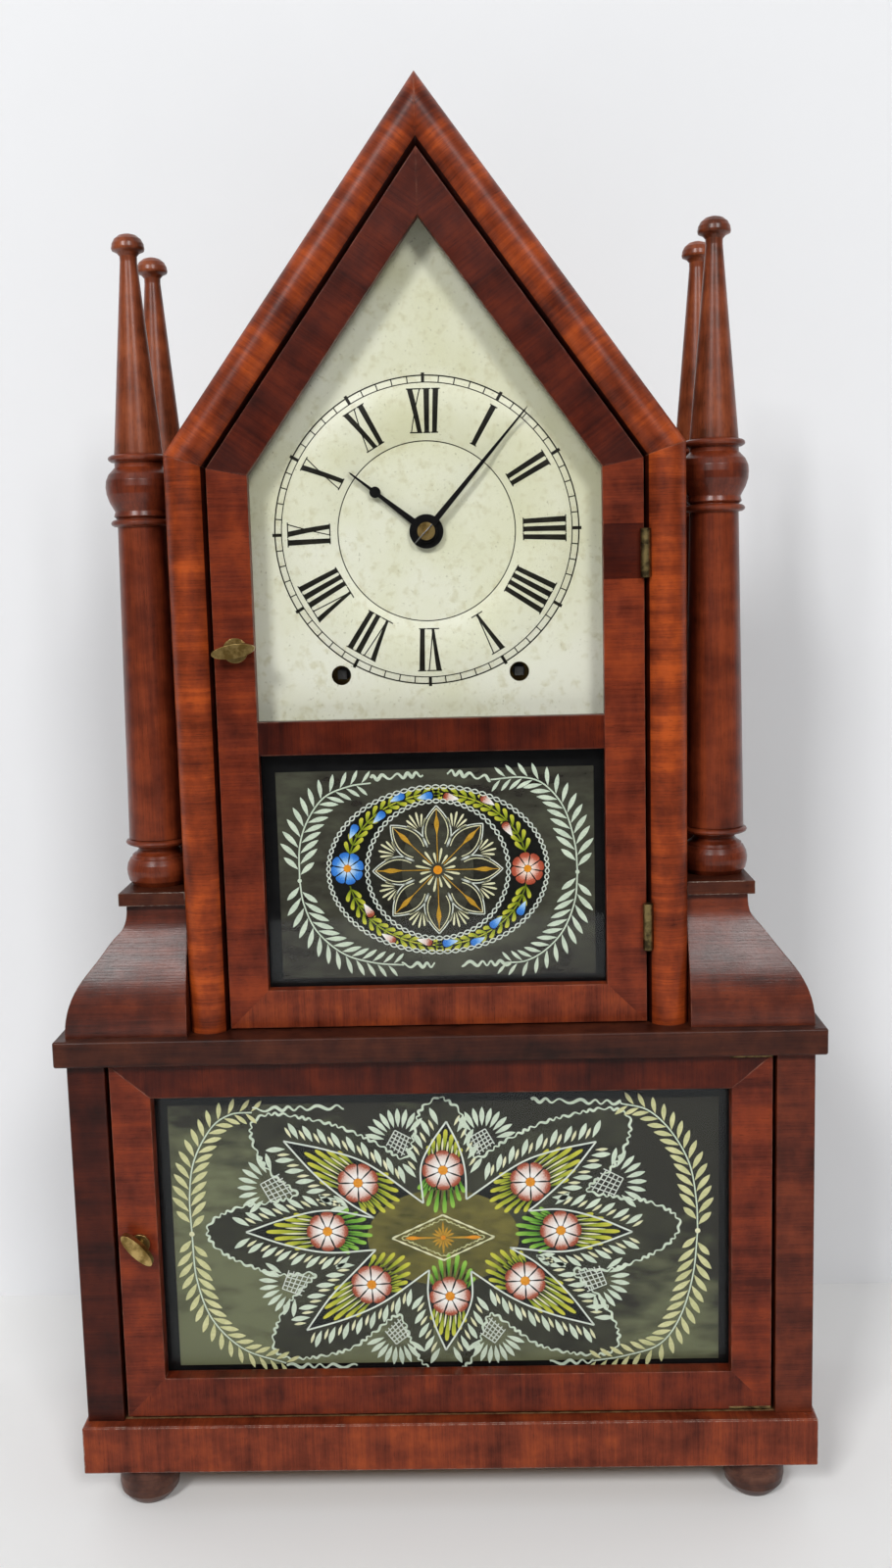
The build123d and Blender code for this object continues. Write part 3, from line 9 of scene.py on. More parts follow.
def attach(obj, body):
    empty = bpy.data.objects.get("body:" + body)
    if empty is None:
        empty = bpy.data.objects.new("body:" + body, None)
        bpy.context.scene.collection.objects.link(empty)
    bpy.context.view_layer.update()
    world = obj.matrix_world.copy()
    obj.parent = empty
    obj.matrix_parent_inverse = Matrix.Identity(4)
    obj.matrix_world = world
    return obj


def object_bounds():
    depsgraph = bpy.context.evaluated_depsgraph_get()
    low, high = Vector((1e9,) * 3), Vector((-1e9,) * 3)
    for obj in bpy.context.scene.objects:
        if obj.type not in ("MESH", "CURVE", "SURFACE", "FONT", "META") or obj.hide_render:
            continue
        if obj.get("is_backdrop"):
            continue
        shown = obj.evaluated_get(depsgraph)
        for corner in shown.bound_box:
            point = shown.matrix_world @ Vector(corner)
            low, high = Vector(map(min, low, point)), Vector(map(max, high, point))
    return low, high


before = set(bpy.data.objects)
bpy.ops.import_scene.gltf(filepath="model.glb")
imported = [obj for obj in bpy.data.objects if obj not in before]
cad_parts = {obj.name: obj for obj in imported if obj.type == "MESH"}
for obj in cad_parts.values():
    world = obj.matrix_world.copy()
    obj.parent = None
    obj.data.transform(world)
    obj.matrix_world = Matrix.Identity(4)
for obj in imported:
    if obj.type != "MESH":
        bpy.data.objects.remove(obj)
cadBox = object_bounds()
mm = 0.001  # every size below is in millimetres until it goes into a mesh or a material
print("frame loaded")


def linear(hexColour):
    # an sRGB hex colour as linear light with full alpha
    steps = [int(hexColour[i:i + 2], 16) / 255 for i in (1, 3, 5)]
    return [s / 12.92 if s <= 0.04045 else ((s + 0.055) / 1.055) ** 2.4 for s in steps] + [1.0]


def addNode(tree, kind, inputs=None, stops=(), **settings):
    # adds a node with its settings, its kind followed by its operation if it has one; an input takes a
    # value, a socket, or another node's first output, and the stops are a colour ramp's places with a
    # hex colour or a grey level each
    kind, *operation = kind.split()
    node = tree.nodes.new("ShaderNode" + kind)
    if operation:
        node.operation = operation[0]
    for name, value in settings.items():
        setattr(node, name, value)
    for name, value in (inputs or {}).items():
        if isinstance(value, bpy.types.Node):
            value = value.outputs[0]
        if isinstance(value, bpy.types.NodeSocket):
            tree.links.new(value, node.inputs[name])
        else:
            node.inputs[name].default_value = value
    for index, (place, shade) in enumerate(stops):
        stop = node.color_ramp.elements[index] if index < 2 else node.color_ramp.elements.new(place)
        stop.position = place
        stop.color = linear(shade) if isinstance(shade, str) else (shade, shade, shade, 1)
    return node


def newMaterial(name, surface, *settings):
    # a material with the shader that the surface function makes; it gets the function that adds nodes
    # to the material, the object's own point, and its settings
    material = bpy.data.materials.new(name)
    material.use_nodes = True
    material.node_tree.nodes.clear()
    add = partial(addNode, material.node_tree)
    point = add("TexCoord").outputs["Object"]
    add("OutputMaterial", {"Surface": surface(add, point, *settings)})
    return material


def realSizePatterns(add, point, patterns):
    # one noise for each pattern, its blobs as long, wide and deep as the table says in millimetres
    found = {}
    for index, (name, (size, detail)) in enumerate(patterns.items()):
        placed = add("Mapping", {"Vector": point, "Scale": [1 / (s * mm) for s in size],
                                 "Location": (3.7 * index, 1.9 * index, 5.3 * index)})
        found[name] = add("TexNoise", {"Vector": placed, "Scale": 1.0, "Detail": detail, "Roughness": 0.55})
    return found


# where the members of the case and the doors meet, for the run of the grain
caseFront = {"half": 118.7, "shoulder": 511.0, "apex": 673.0}
upperDoor = {"half": 99.1, "inner": 80.5, "bottom": 241.6, "tabletBottom": 259.9, "rail": (371.4, 389.1),
             "shoulder": 504.2, "innerShoulder": 500.45, "apex": 640.9, "patch": (450.0, 475.0)}
lowerDoor = {"half": 156.9, "inner": 137.8, "bottom": 48.6, "openLow": 68.1, "openHigh": 210.8, "top": 227.0}


def foldedPoint(add, point):
    # the parts of a point, and (|x|, y, z), which treats left and right alike
    parts = add("SeparateXYZ", {0: point}).outputs
    width = add("Math ABSOLUTE", {0: parts[0]})
    return parts, add("CombineXYZ", {0: width, 1: parts[1], 2: parts[2]})


def acrossRoof(outline):
    # the direction, as (x, z), square to the right slope of a roof
    run, rise = outline["half"], outline["apex"] - outline["shoulder"]
    slope = math.hypot(run, rise)
    return rise / slope, run / slope


def besideLine(add, folded, a, b):
    # 1 on the left of the line from a to b, both (|x|, z) in millimetres, and 0 on its right
    nx, nz = a[1] - b[1], b[0] - a[0]
    reach = add("VectorMath DOT_PRODUCT", {0: folded, 1: (nx, 0, nz)}).outputs[1]
    return add("Math GREATER_THAN", {0: reach, 1: (nx * a[0] + nz * a[1]) * mm})


def grainAlong(add, point, direction, shift):
    # turns the point so that its first part runs with the grain, its second across it and its third
    # into the wood; shift keeps the figure of one board apart from the next
    x, z = direction
    along, across = (add("VectorMath DOT_PRODUCT", {0: point, 1: row}).outputs[1]
                     for row in ((x, 0, z), (-z, 0, x)))
    depth = add("SeparateXYZ", {0: point}).outputs[1]
    turned = add("CombineXYZ", {0: along, 1: across, 2: depth})
    return add("VectorMath ADD", {0: turned, 1: (shift, 2 * shift, 3 * shift)})


def toned(add, tone, patches):
    # the tone, or another shade wherever a patch's mask is 1
    for mask, shade in patches:
        tone = add("Mix", {0: mask, 6: tone, 7: linear(shade)}, data_type="RGBA").outputs[2]
    return tone


# Mahogany veneer laid across each member and French polished: to the eye broad red and brown bands
# that run with the grain, thin fibre lines, short dark pores, cloudy smudges in the polish, a soft
# gloss, and a pale rubbed line along every edge.
veneer = {
    "patterns": {"pore": ((4.5, 0.34, 4.5), 2), "fibre": ((26.0, 0.8, 26.0), 4),
                 "line": ((60.0, 3.0, 60.0), 3), "band": ((160.0, 15.0, 160.0), 3),
                 "smudge": ((11.0, 17.0, 11.0), 4), "rub": ((7.0, 7.0, 7.0), 4),
                 "smear": ((30.0, 18.0, 18.0), 4), "crackle": ((1.6, 1.6, 1.6), 3)},
    "shares": {"band": 0.36, "line": 0.14, "fibre": 0.16, "smudge": 0.34},
    "poreDepth": 0.6, "edgeRadius": 0.9, "edgeShade": "#a5705a", "coat": 0.04, "specular": 0.16,
    "relief": 0.10}
polishedVeneer = dict(veneer, coat=0.2, specular=0.28, relief=0.14)
# along the cornice and the base the polish is chipped off the edges, down to pale bare wood
wornVeneer = dict(veneer, edgeRadius=0.7, edgeShade="#d3c4b4",
                  patterns=dict(veneer["patterns"], rub=((4.0, 2.0, 2.0), 4)))
# solid mahogany, turned on a lathe: the grain runs up through the piece and shows in thin streaks
turnedWood = dict(veneer, patterns=dict(
    veneer["patterns"], pore=((7.0, 0.4, 0.4), 2), fibre=((40.0, 0.9, 0.9), 4), line=((90.0, 4.0, 4.0), 3),
    band=((200.0, 12.0, 12.0), 3)), edgeRadius=0.6, coat=0.16, specular=0.24)


def woodSurface(add, vector, wood, shades, gloss, wear, tone):
    # the wood's bands, pores, rubbed edges and gloss, in its three shades times the tone
    found = realSizePatterns(add, vector, wood["patterns"])
    body = 0.0
    for name, share in wood["shares"].items():
        body = add("Math MULTIPLY_ADD", {0: found[name], 1: share, 2: body})
    colour = add("ValToRGB", {0: body}, zip((0.39, 0.50, 0.61), shades))
    pores = add("ValToRGB", {0: found["pore"]}, [(0.30, wood["poreDepth"]), (0.41, 1.0)])
    for factor in (pores, tone):
        colour = add("Mix", {0: 1.0, 6: colour, 7: factor}, data_type="RGBA", blend_type="MULTIPLY").outputs[2]
    # an edge is where the rounded normal leans away from the face's own
    rounded = add("Bevel", {"Radius": wood["edgeRadius"] * mm}, samples=4)
    face = add("NewGeometry").outputs["True Normal"]
    lean = add("VectorMath DOT_PRODUCT", {0: rounded, 1: face}).outputs[1]
    edge = add("ValToRGB", {0: lean}, [(0.80, 1.0), (0.985, 0.0)])
    rub = add("ValToRGB", {0: found["rub"]}, [(0.42, 0.12 * wear), (0.62, wear)])
    edge = add("Math MULTIPLY", {0: edge, 1: rub})
    rough = add("Math MULTIPLY_ADD", {0: found["smear"], 1: 0.24, 2: gloss - 0.12})
    height = add("Math MULTIPLY_ADD", {0: pores, 1: 0.5, 2: found["fibre"]})
    height = add("Math MULTIPLY_ADD", {0: found["crackle"], 1: 0.5, 2: height})
    bump = add("Bump", {"Height": height, "Strength": 0.35, "Distance": wood["relief"] * mm, "Normal": rounded})
    return add("BsdfPrincipled", {
        "Base Color": toned(add, colour, [(edge, wood["edgeShade"])]), "Roughness": rough, "IOR": 1.5,
        "Normal": bump, "Coat Normal": bump, "Specular IOR Level": wood["specular"],
        "Coat Weight": wood["coat"], "Coat Roughness": gloss * 0.75})


redMahogany = ("#46190c", "#6c2d19", "#8a3d1d")
brownMahogany = ("#2f120a", "#4f2013", "#6a2e19")
darkMahogany = ("#200e09", "#3a1a10", "#4e2616")
# shades for the half-round mouldings, brighter and more orange than the others: partly the wood's own colour, partly
# a painted glow of light on their rounded faces
paintedGlowMahogany = ("#4c1a0a", "#7c3214", "#a94a1a")


def mahoganyVeneer(add, point, direction, shades, gloss, shift, wear, wood, leftTone="#ffffff", gapShade=None):
    # direction is where the grain runs: up, across, or square to the slope of the roof; the left tone
    # darkens the piece on the left, which is from another board than its twin; gapShade is a line from
    # a to b, on whose left, beside the door, the piece is darkened as painted shade of the gap there
    parts, folded = foldedPoint(add, point)
    way = {"up": (0, 1), "across": (1, 0), "roof": acrossRoof(caseFront)}[direction]
    vector = grainAlong(add, folded if direction == "roof" else point, way, shift)
    patches = [(add("Math LESS_THAN", {0: parts[0], 1: 0.0}), leftTone)]
    if gapShade:
        # painted shade: the moulding is darker beside the door, where the gap between them lies in shadow
        patches.append((besideLine(add, folded, *gapShade), "#4b3c36"))
    return woodSurface(add, vector, wood, shades, gloss, wear, toned(add, linear("#ffffff"), patches))


def upperDoorVeneer(add, point):
    # cross-banded: the grain runs across the stiles, up the rails and square to the rafters
    parts, folded = foldedPoint(add, point)
    d = upperDoor
    stile, rail = grainAlong(add, point, (1, 0), 0.11), grainAlong(add, point, (0, 1), 0.37)
    rafter = grainAlong(add, folded, acrossRoof(d), 0.73)
    isRafter = besideLine(add, folded, (d["inner"], d["innerShoulder"]), (d["half"], d["shoulder"]))
    isBottom = besideLine(add, folded, (d["half"], d["bottom"]), (d["inner"], d["tabletBottom"]))
    isInside = besideLine(add, folded, (d["inner"], d["bottom"]), (d["inner"], d["apex"]))
    isRight = add("Math GREATER_THAN", {0: parts[0], 1: d["inner"] * mm})
    isLeft = add("Math LESS_THAN", {0: parts[0], 1: 0.0})
    # the middle rail, and a darker patch let into the right stile behind the upper hinge
    levels = [add("Math COMPARE", {0: parts[2], 1: (low + high) / 2 * mm, 2: (high - low) / 2 * mm})
              for low, high in (d["rail"], d["patch"])]
    isMiddle, isPatch = (add("Math MULTIPLY", {0: level, 1: where})
                         for level, where in zip(levels, (isInside, isRight)))
    isRail = add("Math MAXIMUM", {0: isBottom, 1: isMiddle})
    vector = stile
    for mask, way in ((isRafter, rafter), (isRail, rail)):
        vector = add("Mix", {0: mask, 4: vector, 5: way}, data_type="VECTOR").outputs[1]
    tone = toned(add, linear("#fbf0ea"), ((isLeft, "#ecdcd4"), (isRafter, "#b09a92"), (isBottom, "#ffffff"),
                                          (isMiddle, "#a58d84"), (isPatch, "#927a72")))
    return woodSurface(add, vector, veneer, redMahogany, 0.34, 0.6, tone)


def lowerDoorVeneer(add, point):
    # cross-banded: the grain runs across the stiles and up the rails, mitred at the corners
    folded = foldedPoint(add, point)[1]
    d = lowerDoor
    isBottom = besideLine(add, folded, (d["half"], d["bottom"]), (d["inner"], d["openLow"]))
    isTop = besideLine(add, folded, (d["inner"], d["openHigh"]), (d["half"], d["top"]))
    isRail = add("Math MAXIMUM", {0: isBottom, 1: isTop})
    stile, rail = grainAlong(add, point, (1, 0), 0.19), grainAlong(add, point, (0, 1), 0.53)
    vector = add("Mix", {0: isRail, 4: stile, 5: rail}, data_type="VECTOR").outputs[1]
    # the top rail is darker: painted shade under the cornice above it
    tone = toned(add, linear("#ead9d0"), ((isTop, "#a08980"), (isBottom, "#e0d0c8")))
    return woodSurface(add, vector, veneer, redMahogany, 0.34, 0.7, tone)


# unfinished pine boards, planed by hand and darkened by age: pale straight grain with brown late-wood
# lines, dry to the eye
pine = {"patterns": {"rings": ((160.0, 5.0, 5.0), 3), "fibre": ((20.0, 0.5, 0.5), 4)},
        "shades": ("#5e4226", "#86633d", "#a07d50"), "roughness": 0.72}


def agedPine(add, point):
    found = realSizePatterns(add, grainAlong(add, point, (0, 1), 0.41), pine["patterns"])
    body = add("Math MULTIPLY", {0: found["rings"], 1: 0.7})
    body = add("Math MULTIPLY_ADD", {0: found["fibre"], 1: 0.3, 2: body})
    colour = add("ValToRGB", {0: body}, zip((0.34, 0.5, 0.64), pine["shades"]))
    bump = add("Bump", {"Height": found["fibre"], "Strength": 0.4, "Distance": 0.2 * mm})
    return add("BsdfPrincipled", {"Base Color": colour, "Roughness": pine["roughness"], "Normal": bump})


# Each metal: how far its tarnish blotches spread, its dark and light shade, its roughness where bright,
# how wide its scratches or tool marks are, and the CAD nodes made of it. The eye gets a dull face with
# brighter rubbed places.
metals = {
    "agedCastBrass": (5.0, ("#705a30", "#b59a62"), 0.36, (1.2, 0.2, 1.2),
                      ("upper_latch", "lower_latch", "hand_collet")),
    "tarnishedRolledBrass": (4.0, ("#3f3524", "#8d7a50"), 0.42, (0.3, 0.3, 3.0),
                             ("case_hinges", "door_hinges", "lower_door_pivots")),
    "lacqueredWheelBrass": (7.0, ("#a5813f", "#cfae66"), 0.30, (1.2, 0.2, 1.2), (
        "front_plate", "back_plate", "plate_pillars", "suspension_cock", "time_great_wheel",
        "strike_great_wheel", "time_second_wheel", "centre_wheel", "third_wheel", "escape_wheel",
        "strike_second_wheel", "warning_wheel", "minute_wheel", "hour_wheel", "fly", "pendulum_bob")),
    "polishedSteel": (6.0, ("#5d5c5a", "#8d8c8a"), 0.30, (0.2, 0.2, 2.0),
                      ("verge", "pendulum_rod", "time_drum", "strike_drum")),
    "bluedSpringSteel": (6.0, ("#1d2129", "#39414f"), 0.32, (2.0, 0.2, 0.2), ("gong", "leaf_spring", "hammer")),
    "blackCastIron": (3.0, ("#191817", "#33302d"), 0.58, (0.8, 0.8, 0.8),
                      ("gong_block", "spring_bracket", "spring_levers")),
}


def agedMetal(add, point, blotch, shades, roughness, scratch):
    found = realSizePatterns(add, point, {"tarnish": ((blotch,) * 3, 5), "scratch": (scratch, 2)})
    colour = add("ValToRGB", {0: found["tarnish"]}, zip((0.38, 0.60), shades))
    rough = add("Math MULTIPLY_ADD", {0: found["tarnish"], 1: -0.25, 2: roughness + 0.13})
    rounded = add("Bevel", {"Radius": 0.35 * mm}, samples=4)
    bump = add("Bump", {"Height": found["scratch"], "Strength": 0.2, "Distance": 0.05 * mm, "Normal": rounded})
    return add("BsdfPrincipled", {"Base Color": colour, "Roughness": rough, "Metallic": 1.0, "Normal": bump})


def windowGlass(add, point):
    # old drawn window glass, a little wavy: clear, with a mirror shine that grows at a slant; the shine's
    # grey tint is painted shade, dulling it as for a dim room in front; light goes straight through, so the far face
    # shines like the near one
    wave = realSizePatterns(add, point, {"wave": ((60.0, 60.0, 60.0), 1)})["wave"]
    bump = add("Bump", {"Height": wave, "Strength": 0.3, "Distance": 0.3 * mm})
    clear = add("BsdfTransparent", {"Color": linear("#ffffff")})
    gloss = add("BsdfGlossy", {"Color": linear("#8f9294"), "Roughness": 0.03, "Normal": bump})
    back = add("NewGeometry").outputs["Backfacing"]
    index = add("Mix", {0: back, 2: 1.45, 3: 1 / 1.45})
    share = add("Fresnel", {"IOR": index, "Normal": bump})
    return add("MixShader", {0: share, 1: clear, 2: gloss})


def paintFilm(add, point, shades, waver=6.0, roughness=0.5, cover=1.0, sweep=((0, 0, 0), 0.0)):
    # oil paint brushed thin: its shade wavers with the thickness of the film, and where it covers
    # less than all, what is behind shows through; a sweep makes it lighter towards one corner, by so
    # much each metre
    found = realSizePatterns(add, point, {"cloud": ((waver * 4,) * 3, 3), "brush": ((waver, waver, waver * 0.4), 4)})
    body = add("Math ADD", {0: found["cloud"], 1: found["brush"]})
    lighter = add("VectorMath DOT_PRODUCT", {0: point, 1: sweep[0]}).outputs[1]
    lighter = add("Math ADD", {0: lighter, 1: sweep[1]})
    body = add("Math MULTIPLY_ADD", {0: body, 1: 0.5, 2: lighter})
    colour = add("ValToRGB", {0: body}, zip((0.38, 0.62), shades))
    return add("BsdfPrincipled", {"Base Color": colour, "Roughness": roughness, "Alpha": cover,
                                  "Specular IOR Level": 0.12})


def shadedPetal(add, point, stops):
    # paint blended wet from the root of each stroke to its tip, with fine bristle streaks along it;
    # the stroke's own UV map runs from root to tip
    along = add("SeparateXYZ", {0: add("UVMap", uv_map="stroke")}).outputs[0]
    bristle = realSizePatterns(add, point, {"bristle": ((0.55,) * 3, 3)})["bristle"]
    place = add("Math MULTIPLY_ADD", {0: bristle, 1: 0.5, 2: -0.25})
    place = add("Math ADD", {0: place, 1: along})
    colour = add("ValToRGB", {0: place}, stops)
    return add("BsdfPrincipled", {"Base Color": colour, "Roughness": 0.5, "Specular IOR Level": 0.12})


# sheet zinc under cream oil paint: yellowed in clouds, with small greenish stains and dark specks
dialPaint = {"patterns": {"cloud": ((70.0, 70.0, 70.0), 4), "mottle": ((4.0, 4.0, 4.0), 5),
                          "speck": ((1.1, 1.1, 1.1), 2)},
             "shades": ("#d3d3b0", "#dcddc3", "#e2e3d1"), "stain": "#c0bb93", "dirt": "#8a8562"}


def agedDialPaint(add, point):
    found = realSizePatterns(add, point, dialPaint["patterns"])
    colour = add("ValToRGB", {0: found["cloud"]}, zip((0.35, 0.5, 0.66), dialPaint["shades"]))
    stain = add("ValToRGB", {0: found["mottle"]}, [(0.53, 0.0), (0.70, 0.5)])
    dirt = add("ValToRGB", {0: found["speck"]}, [(0.66, 0.0), (0.74, 0.6)])
    colour = toned(add, colour, ((stain, dialPaint["stain"]), (dirt, dialPaint["dirt"])))
    bump = add("Bump", {"Height": found["mottle"], "Strength": 0.25, "Distance": 0.1 * mm})
    return add("BsdfPrincipled", {"Base Color": colour, "Roughness": 0.42, "Normal": bump,
                                  "Coat Weight": 0.15, "Coat Roughness": 0.3})


def twistedGut(add, point):
    # twisted gut line: tan strands with darker grooves between them
    strand = realSizePatterns(add, point, {"strand": ((0.6, 0.6, 2.4), 2)})["strand"]
    colour = add("ValToRGB", {0: strand}, [(0.35, "#6d4f2a"), (0.65, "#a88350")])
    return add("BsdfPrincipled", {"Base Color": colour, "Roughness": 0.5, "Subsurface Weight": 0.1})


# the material, the function that makes its surface, and that function's settings, for each CAD node
surfaces = {
    # in the moulding rows the last setting is the line beside which the moulding is darkened as painted shade of the
    # door gap
    "stile_mouldings": ("crossBandedMahoganyStile", mahoganyVeneer, "across", paintedGlowMahogany, 0.40, 0.13,
                        0.6, veneer, "#ffffff", ((101.3, 0.0), (101.3, 600.0))),
    "roof_mouldings": ("crossBandedMahoganyRoof", mahoganyVeneer, "roof", paintedGlowMahogany, 0.40, 0.31, 0.6,
                       veneer, "#ffffff", ((99.1, 507.9), (0.0, 644.6))),
    "upper_door_frame": ("frenchPolishedMahoganyUpperDoor", upperDoorVeneer),
    "lower_door_frame": ("frenchPolishedMahoganyLowerDoor", lowerDoorVeneer),
    "lower_stiles": ("crossBandedMahoganyLowerStile", mahoganyVeneer, "across", brownMahogany, 0.36, 0.07,
                     0.5, veneer, "#ae988e"),
    "base_mouldings": ("crossBandedMahoganyBase", mahoganyVeneer, "up", redMahogany, 0.40, 0.17, 0.9,
                       wornVeneer),
    "columns": ("turnedMahoganyColumn", mahoganyVeneer, "up", ("#3c150a", "#5f2613", "#7b351a"), 0.32, 0.29,
                0.35, turnedWood),
    "steeple_finials": ("turnedMahoganySteeple", mahoganyVeneer, "up", ("#47200f", "#73371f", "#8f4a2a"),
                        0.32, 0.33, 0.35, turnedWood),
    "bun_feet": ("turnedMahoganyFoot", mahoganyVeneer, "across", ("#27130d", "#42241a", "#5d392a"), 0.42,
                 0.37, 0.35, turnedWood),
    "dial": ("agedCreamDialPaint", agedDialPaint),
    "upper_glass": ("oldWindowGlass", windowGlass),
    "drive_cords": ("twistedGut", twistedGut),
}
for node, name, way, shades, gloss, shift, wear, wood in (
        ("cornice_board", "Cornice", "across", darkMahogany, 0.36, 0.23, 0.9, wornVeneer),
        ("ogee_shoulders", "Ogee", "across", brownMahogany, 0.34, 0.05, 0.6, polishedVeneer),
        ("column_shelves", "Shelf", "across", darkMahogany, 0.36, 0.03, 0.9, wornVeneer),
        ("lower_sides", "LowerSide", "up", brownMahogany, 0.38, 0.43, 0.6, turnedWood),
        ("upper_sides", "UpperSide", "up", brownMahogany, 0.38, 0.47, 0.6, turnedWood),
        ("roof_boards", "RoofBoard", "up", brownMahogany, 0.38, 0.59, 0.6, turnedWood)):
    surfaces[node] = ("frenchPolishedMahogany" + name, mahoganyVeneer, way, shades, gloss, shift, wear, wood)
finishes = {node: newMaterial(*settings) for node, settings in surfaces.items()}
for nodes, settings in [
        (("middle_tablet", "lower_tablet"), ("oldTabletGlass", windowGlass)),
        (("base_board", "lower_back_board", "upper_back_board", "dial_cleats", "movement_blocks"),
         ("agedPlanedPine", agedPine)),
        (("hour_hand", "minute_hand"), ("blackHandEnamel", paintFilm, ("#0a0909", "#141212"), 5.0, 0.35)),
        *((nodes, (name, agedMetal, *metal)) for name, (*metal, nodes) in metals.items())]:
    finishes.update(dict.fromkeys(nodes, newMaterial(*settings)))
for node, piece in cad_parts.items():
    for slot in piece.material_slots:
        slot.material = finishes[node]
print("materials made for", len(finishes), "CAD nodes")


def meshPiece(name, points, faces, materials, faceMaterials=None, strokeMap=None, smooth=False):
    # points in millimetres in the frame of the clock, faces as rows of corner numbers, and the
    # stroke map as one (along, side) pair for each point
    mesh = bpy.data.meshes.new(name)
    mesh.from_pydata((np.asarray(points) * mm).tolist(), [], np.asarray(faces).tolist())
    for material in materials:
        mesh.materials.append(material)
    if faceMaterials is not None:
        mesh.polygons.foreach_set("material_index", np.asarray(faceMaterials, dtype=np.int32))
    if strokeMap is not None:
        corners = np.empty(len(mesh.loops), dtype=np.int32)
        mesh.loops.foreach_get("vertex_index", corners)
        mesh.uv_layers.new(name="stroke").data.foreach_set("uv", np.asarray(strokeMap)[corners].ravel())
    mesh.polygons.foreach_set("use_smooth", np.full(len(mesh.polygons), smooth))
    mesh.update()
    piece = bpy.data.objects.new(name, mesh)
    bpy.context.scene.collection.objects.link(piece)
    return piece


def gridFaces(rows, columns, copies=1):
    # quads between the points of a grid stored row by row, for each of the copies in turn
    row, column = np.meshgrid(np.arange(rows - 1), np.arange(columns - 1), indexing="ij")
    corner = (row * columns + column).ravel()
    quad = np.stack([corner, corner + 1, corner + columns + 1, corner + columns], axis=1)
    return (np.arange(copies)[:, None, None] * rows * columns + quad[None]).reshape(-1, 4)


# the dial's black paint: roman numerals, the minute track and the inner circle of the chapter ring
dialMarks = {"centre": 474.0, "front": -38.0, "swellIn": 41.3, "swellOut": 71.0, "rise": 2.2, "lift": 0.06,
             "numeralIn": 45.0, "numeralOut": 64.6, "serif": 0.55, "fan": 0.09, "trackIn": 67.6,
             "trackOut": 70.8, "line": 0.23, "tick": 0.22, "fiveTick": 0.65, "fiveOver": 1.2, "steps": 13}
letterWidths = {"I": 3.9, "V": 6.8, "X": 6.8}
# each letter's strokes: left and right edge at the foot, then at the head, in millimetres
letterStrokes = {"I": [(-1.2, 1.2, -1.2, 1.2)], "V": [(-0.7, 0.7, -3.1, -0.8), (-0.2, 0.35, 2.1, 2.6)],
                 "X": [(0.6, 2.9, -2.9, -0.6), (-2.7, -2.2, 2.2, 2.7)]}


def onDial(across, radius, angle):
    # the point at a radius and an angle clockwise from twelve, moved across that radius; the ring
    # swells forward as an arc of a circle between its two radii
    d = dialMarks
    x = radius * np.sin(angle) + across * np.cos(angle)
    z = radius * np.cos(angle) - across * np.sin(angle)
    half = (d["swellOut"] - d["swellIn"]) / 2
    arc = (half ** 2 + d["rise"] ** 2) / (2 * d["rise"])
    offset = np.hypot(x, z) - (d["swellOut"] + d["swellIn"]) / 2
    swell = np.sqrt(np.maximum(arc ** 2 - offset ** 2, 0)) - (arc - d["rise"])
    return np.stack([x, d["front"] - np.maximum(swell, 0) - d["lift"], d["centre"] + z], axis=-1)


def dialStrokes():
    # every stroke is a band of the ring: its edges run straight from foot to head, and it widens a
    # little with the radius; the rows are foot left, foot right, head left, head right, low, high, angle
    d = dialMarks
    rows = []
    for hour, numeral in enumerate("XII I II III IIII V VI VII VIII IX X XI".split()):
        place = -sum(letterWidths[letter] for letter in numeral) / 2
        for letter in numeral:
            middle, half = place + letterWidths[letter] / 2, letterWidths[letter] / 2 - 0.15
            for stroke in letterStrokes[letter]:
                rows.append([middle + s for s in stroke] + [d["numeralIn"], d["numeralOut"], 30 * hour])
            for low in (d["numeralIn"] - d["serif"] / 2, d["numeralOut"] - d["serif"] / 2):
                rows.append([middle - half, middle + half] * 2 + [low, low + d["serif"], 30 * hour])
            place += letterWidths[letter]
    for minute in range(60):
        half, over = (d["fiveTick"], d["fiveOver"]) if minute % 5 == 0 else (d["tick"], 0)
        rows.append([-half, half, -half, half, d["trackIn"], d["trackOut"] + over, 6 * minute])
    footLeft, footRight, headLeft, headRight, low, high, angle = np.array(rows).T[:, :, None, None]
    share = np.linspace(0, 1, d["steps"])[None, :, None]
    side = np.linspace(0, 1, 3)[None, None, :]
    left, right = footLeft + (headLeft - footLeft) * share, footRight + (headRight - footRight) * share
    radius = low + (high - low) * share + 0 * side
    middle = (d["numeralIn"] + d["numeralOut"]) / 2
    across = (left + (right - left) * side) * (1 + d["fan"] * (radius - middle) / (d["numeralOut"] - middle))
    strokes = onDial(across, radius, np.radians(angle)).reshape(-1, 3)
    turn = np.linspace(0, 2 * np.pi, 361)[None, :, None]
    middles = np.array([d["swellIn"], d["trackIn"], d["trackOut"]])[:, None, None]
    halves = np.array([d["line"], d["line"], 1.4 * d["line"]])[:, None, None]
    rings = onDial(0.0, middles + halves * np.array([-1, 1])[None, None, :], turn).reshape(-1, 3)
    faces = [gridFaces(d["steps"], 3, len(rows)), gridFaces(361, 2, 3) + len(strokes)]
    return np.concatenate([strokes, rings]), np.concatenate(faces)


numberPaint = newMaterial("blackNumeralPaint", paintFilm, ("#12110c", "#24231a"), 1.5, 0.45)
numbers = meshPiece("dialNumerals", *dialStrokes(), [numberPaint])
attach(numbers, "case")
print("dial painted")


# the steel taper pin that holds the collet: it passes in front of the washer and tapers downwards
handPin = {"thick": (2.9, -44.93, 477.1), "thin": (-5.4, -44.93, 468.5), "radii": (0.42, 0.26), "round": 12,
           "shares": (0.0, 0.0, 0.03, 0.97, 1.0, 1.0), "ends": (0.0, 0.7, 1.0, 1.0, 0.7, 0.0)}


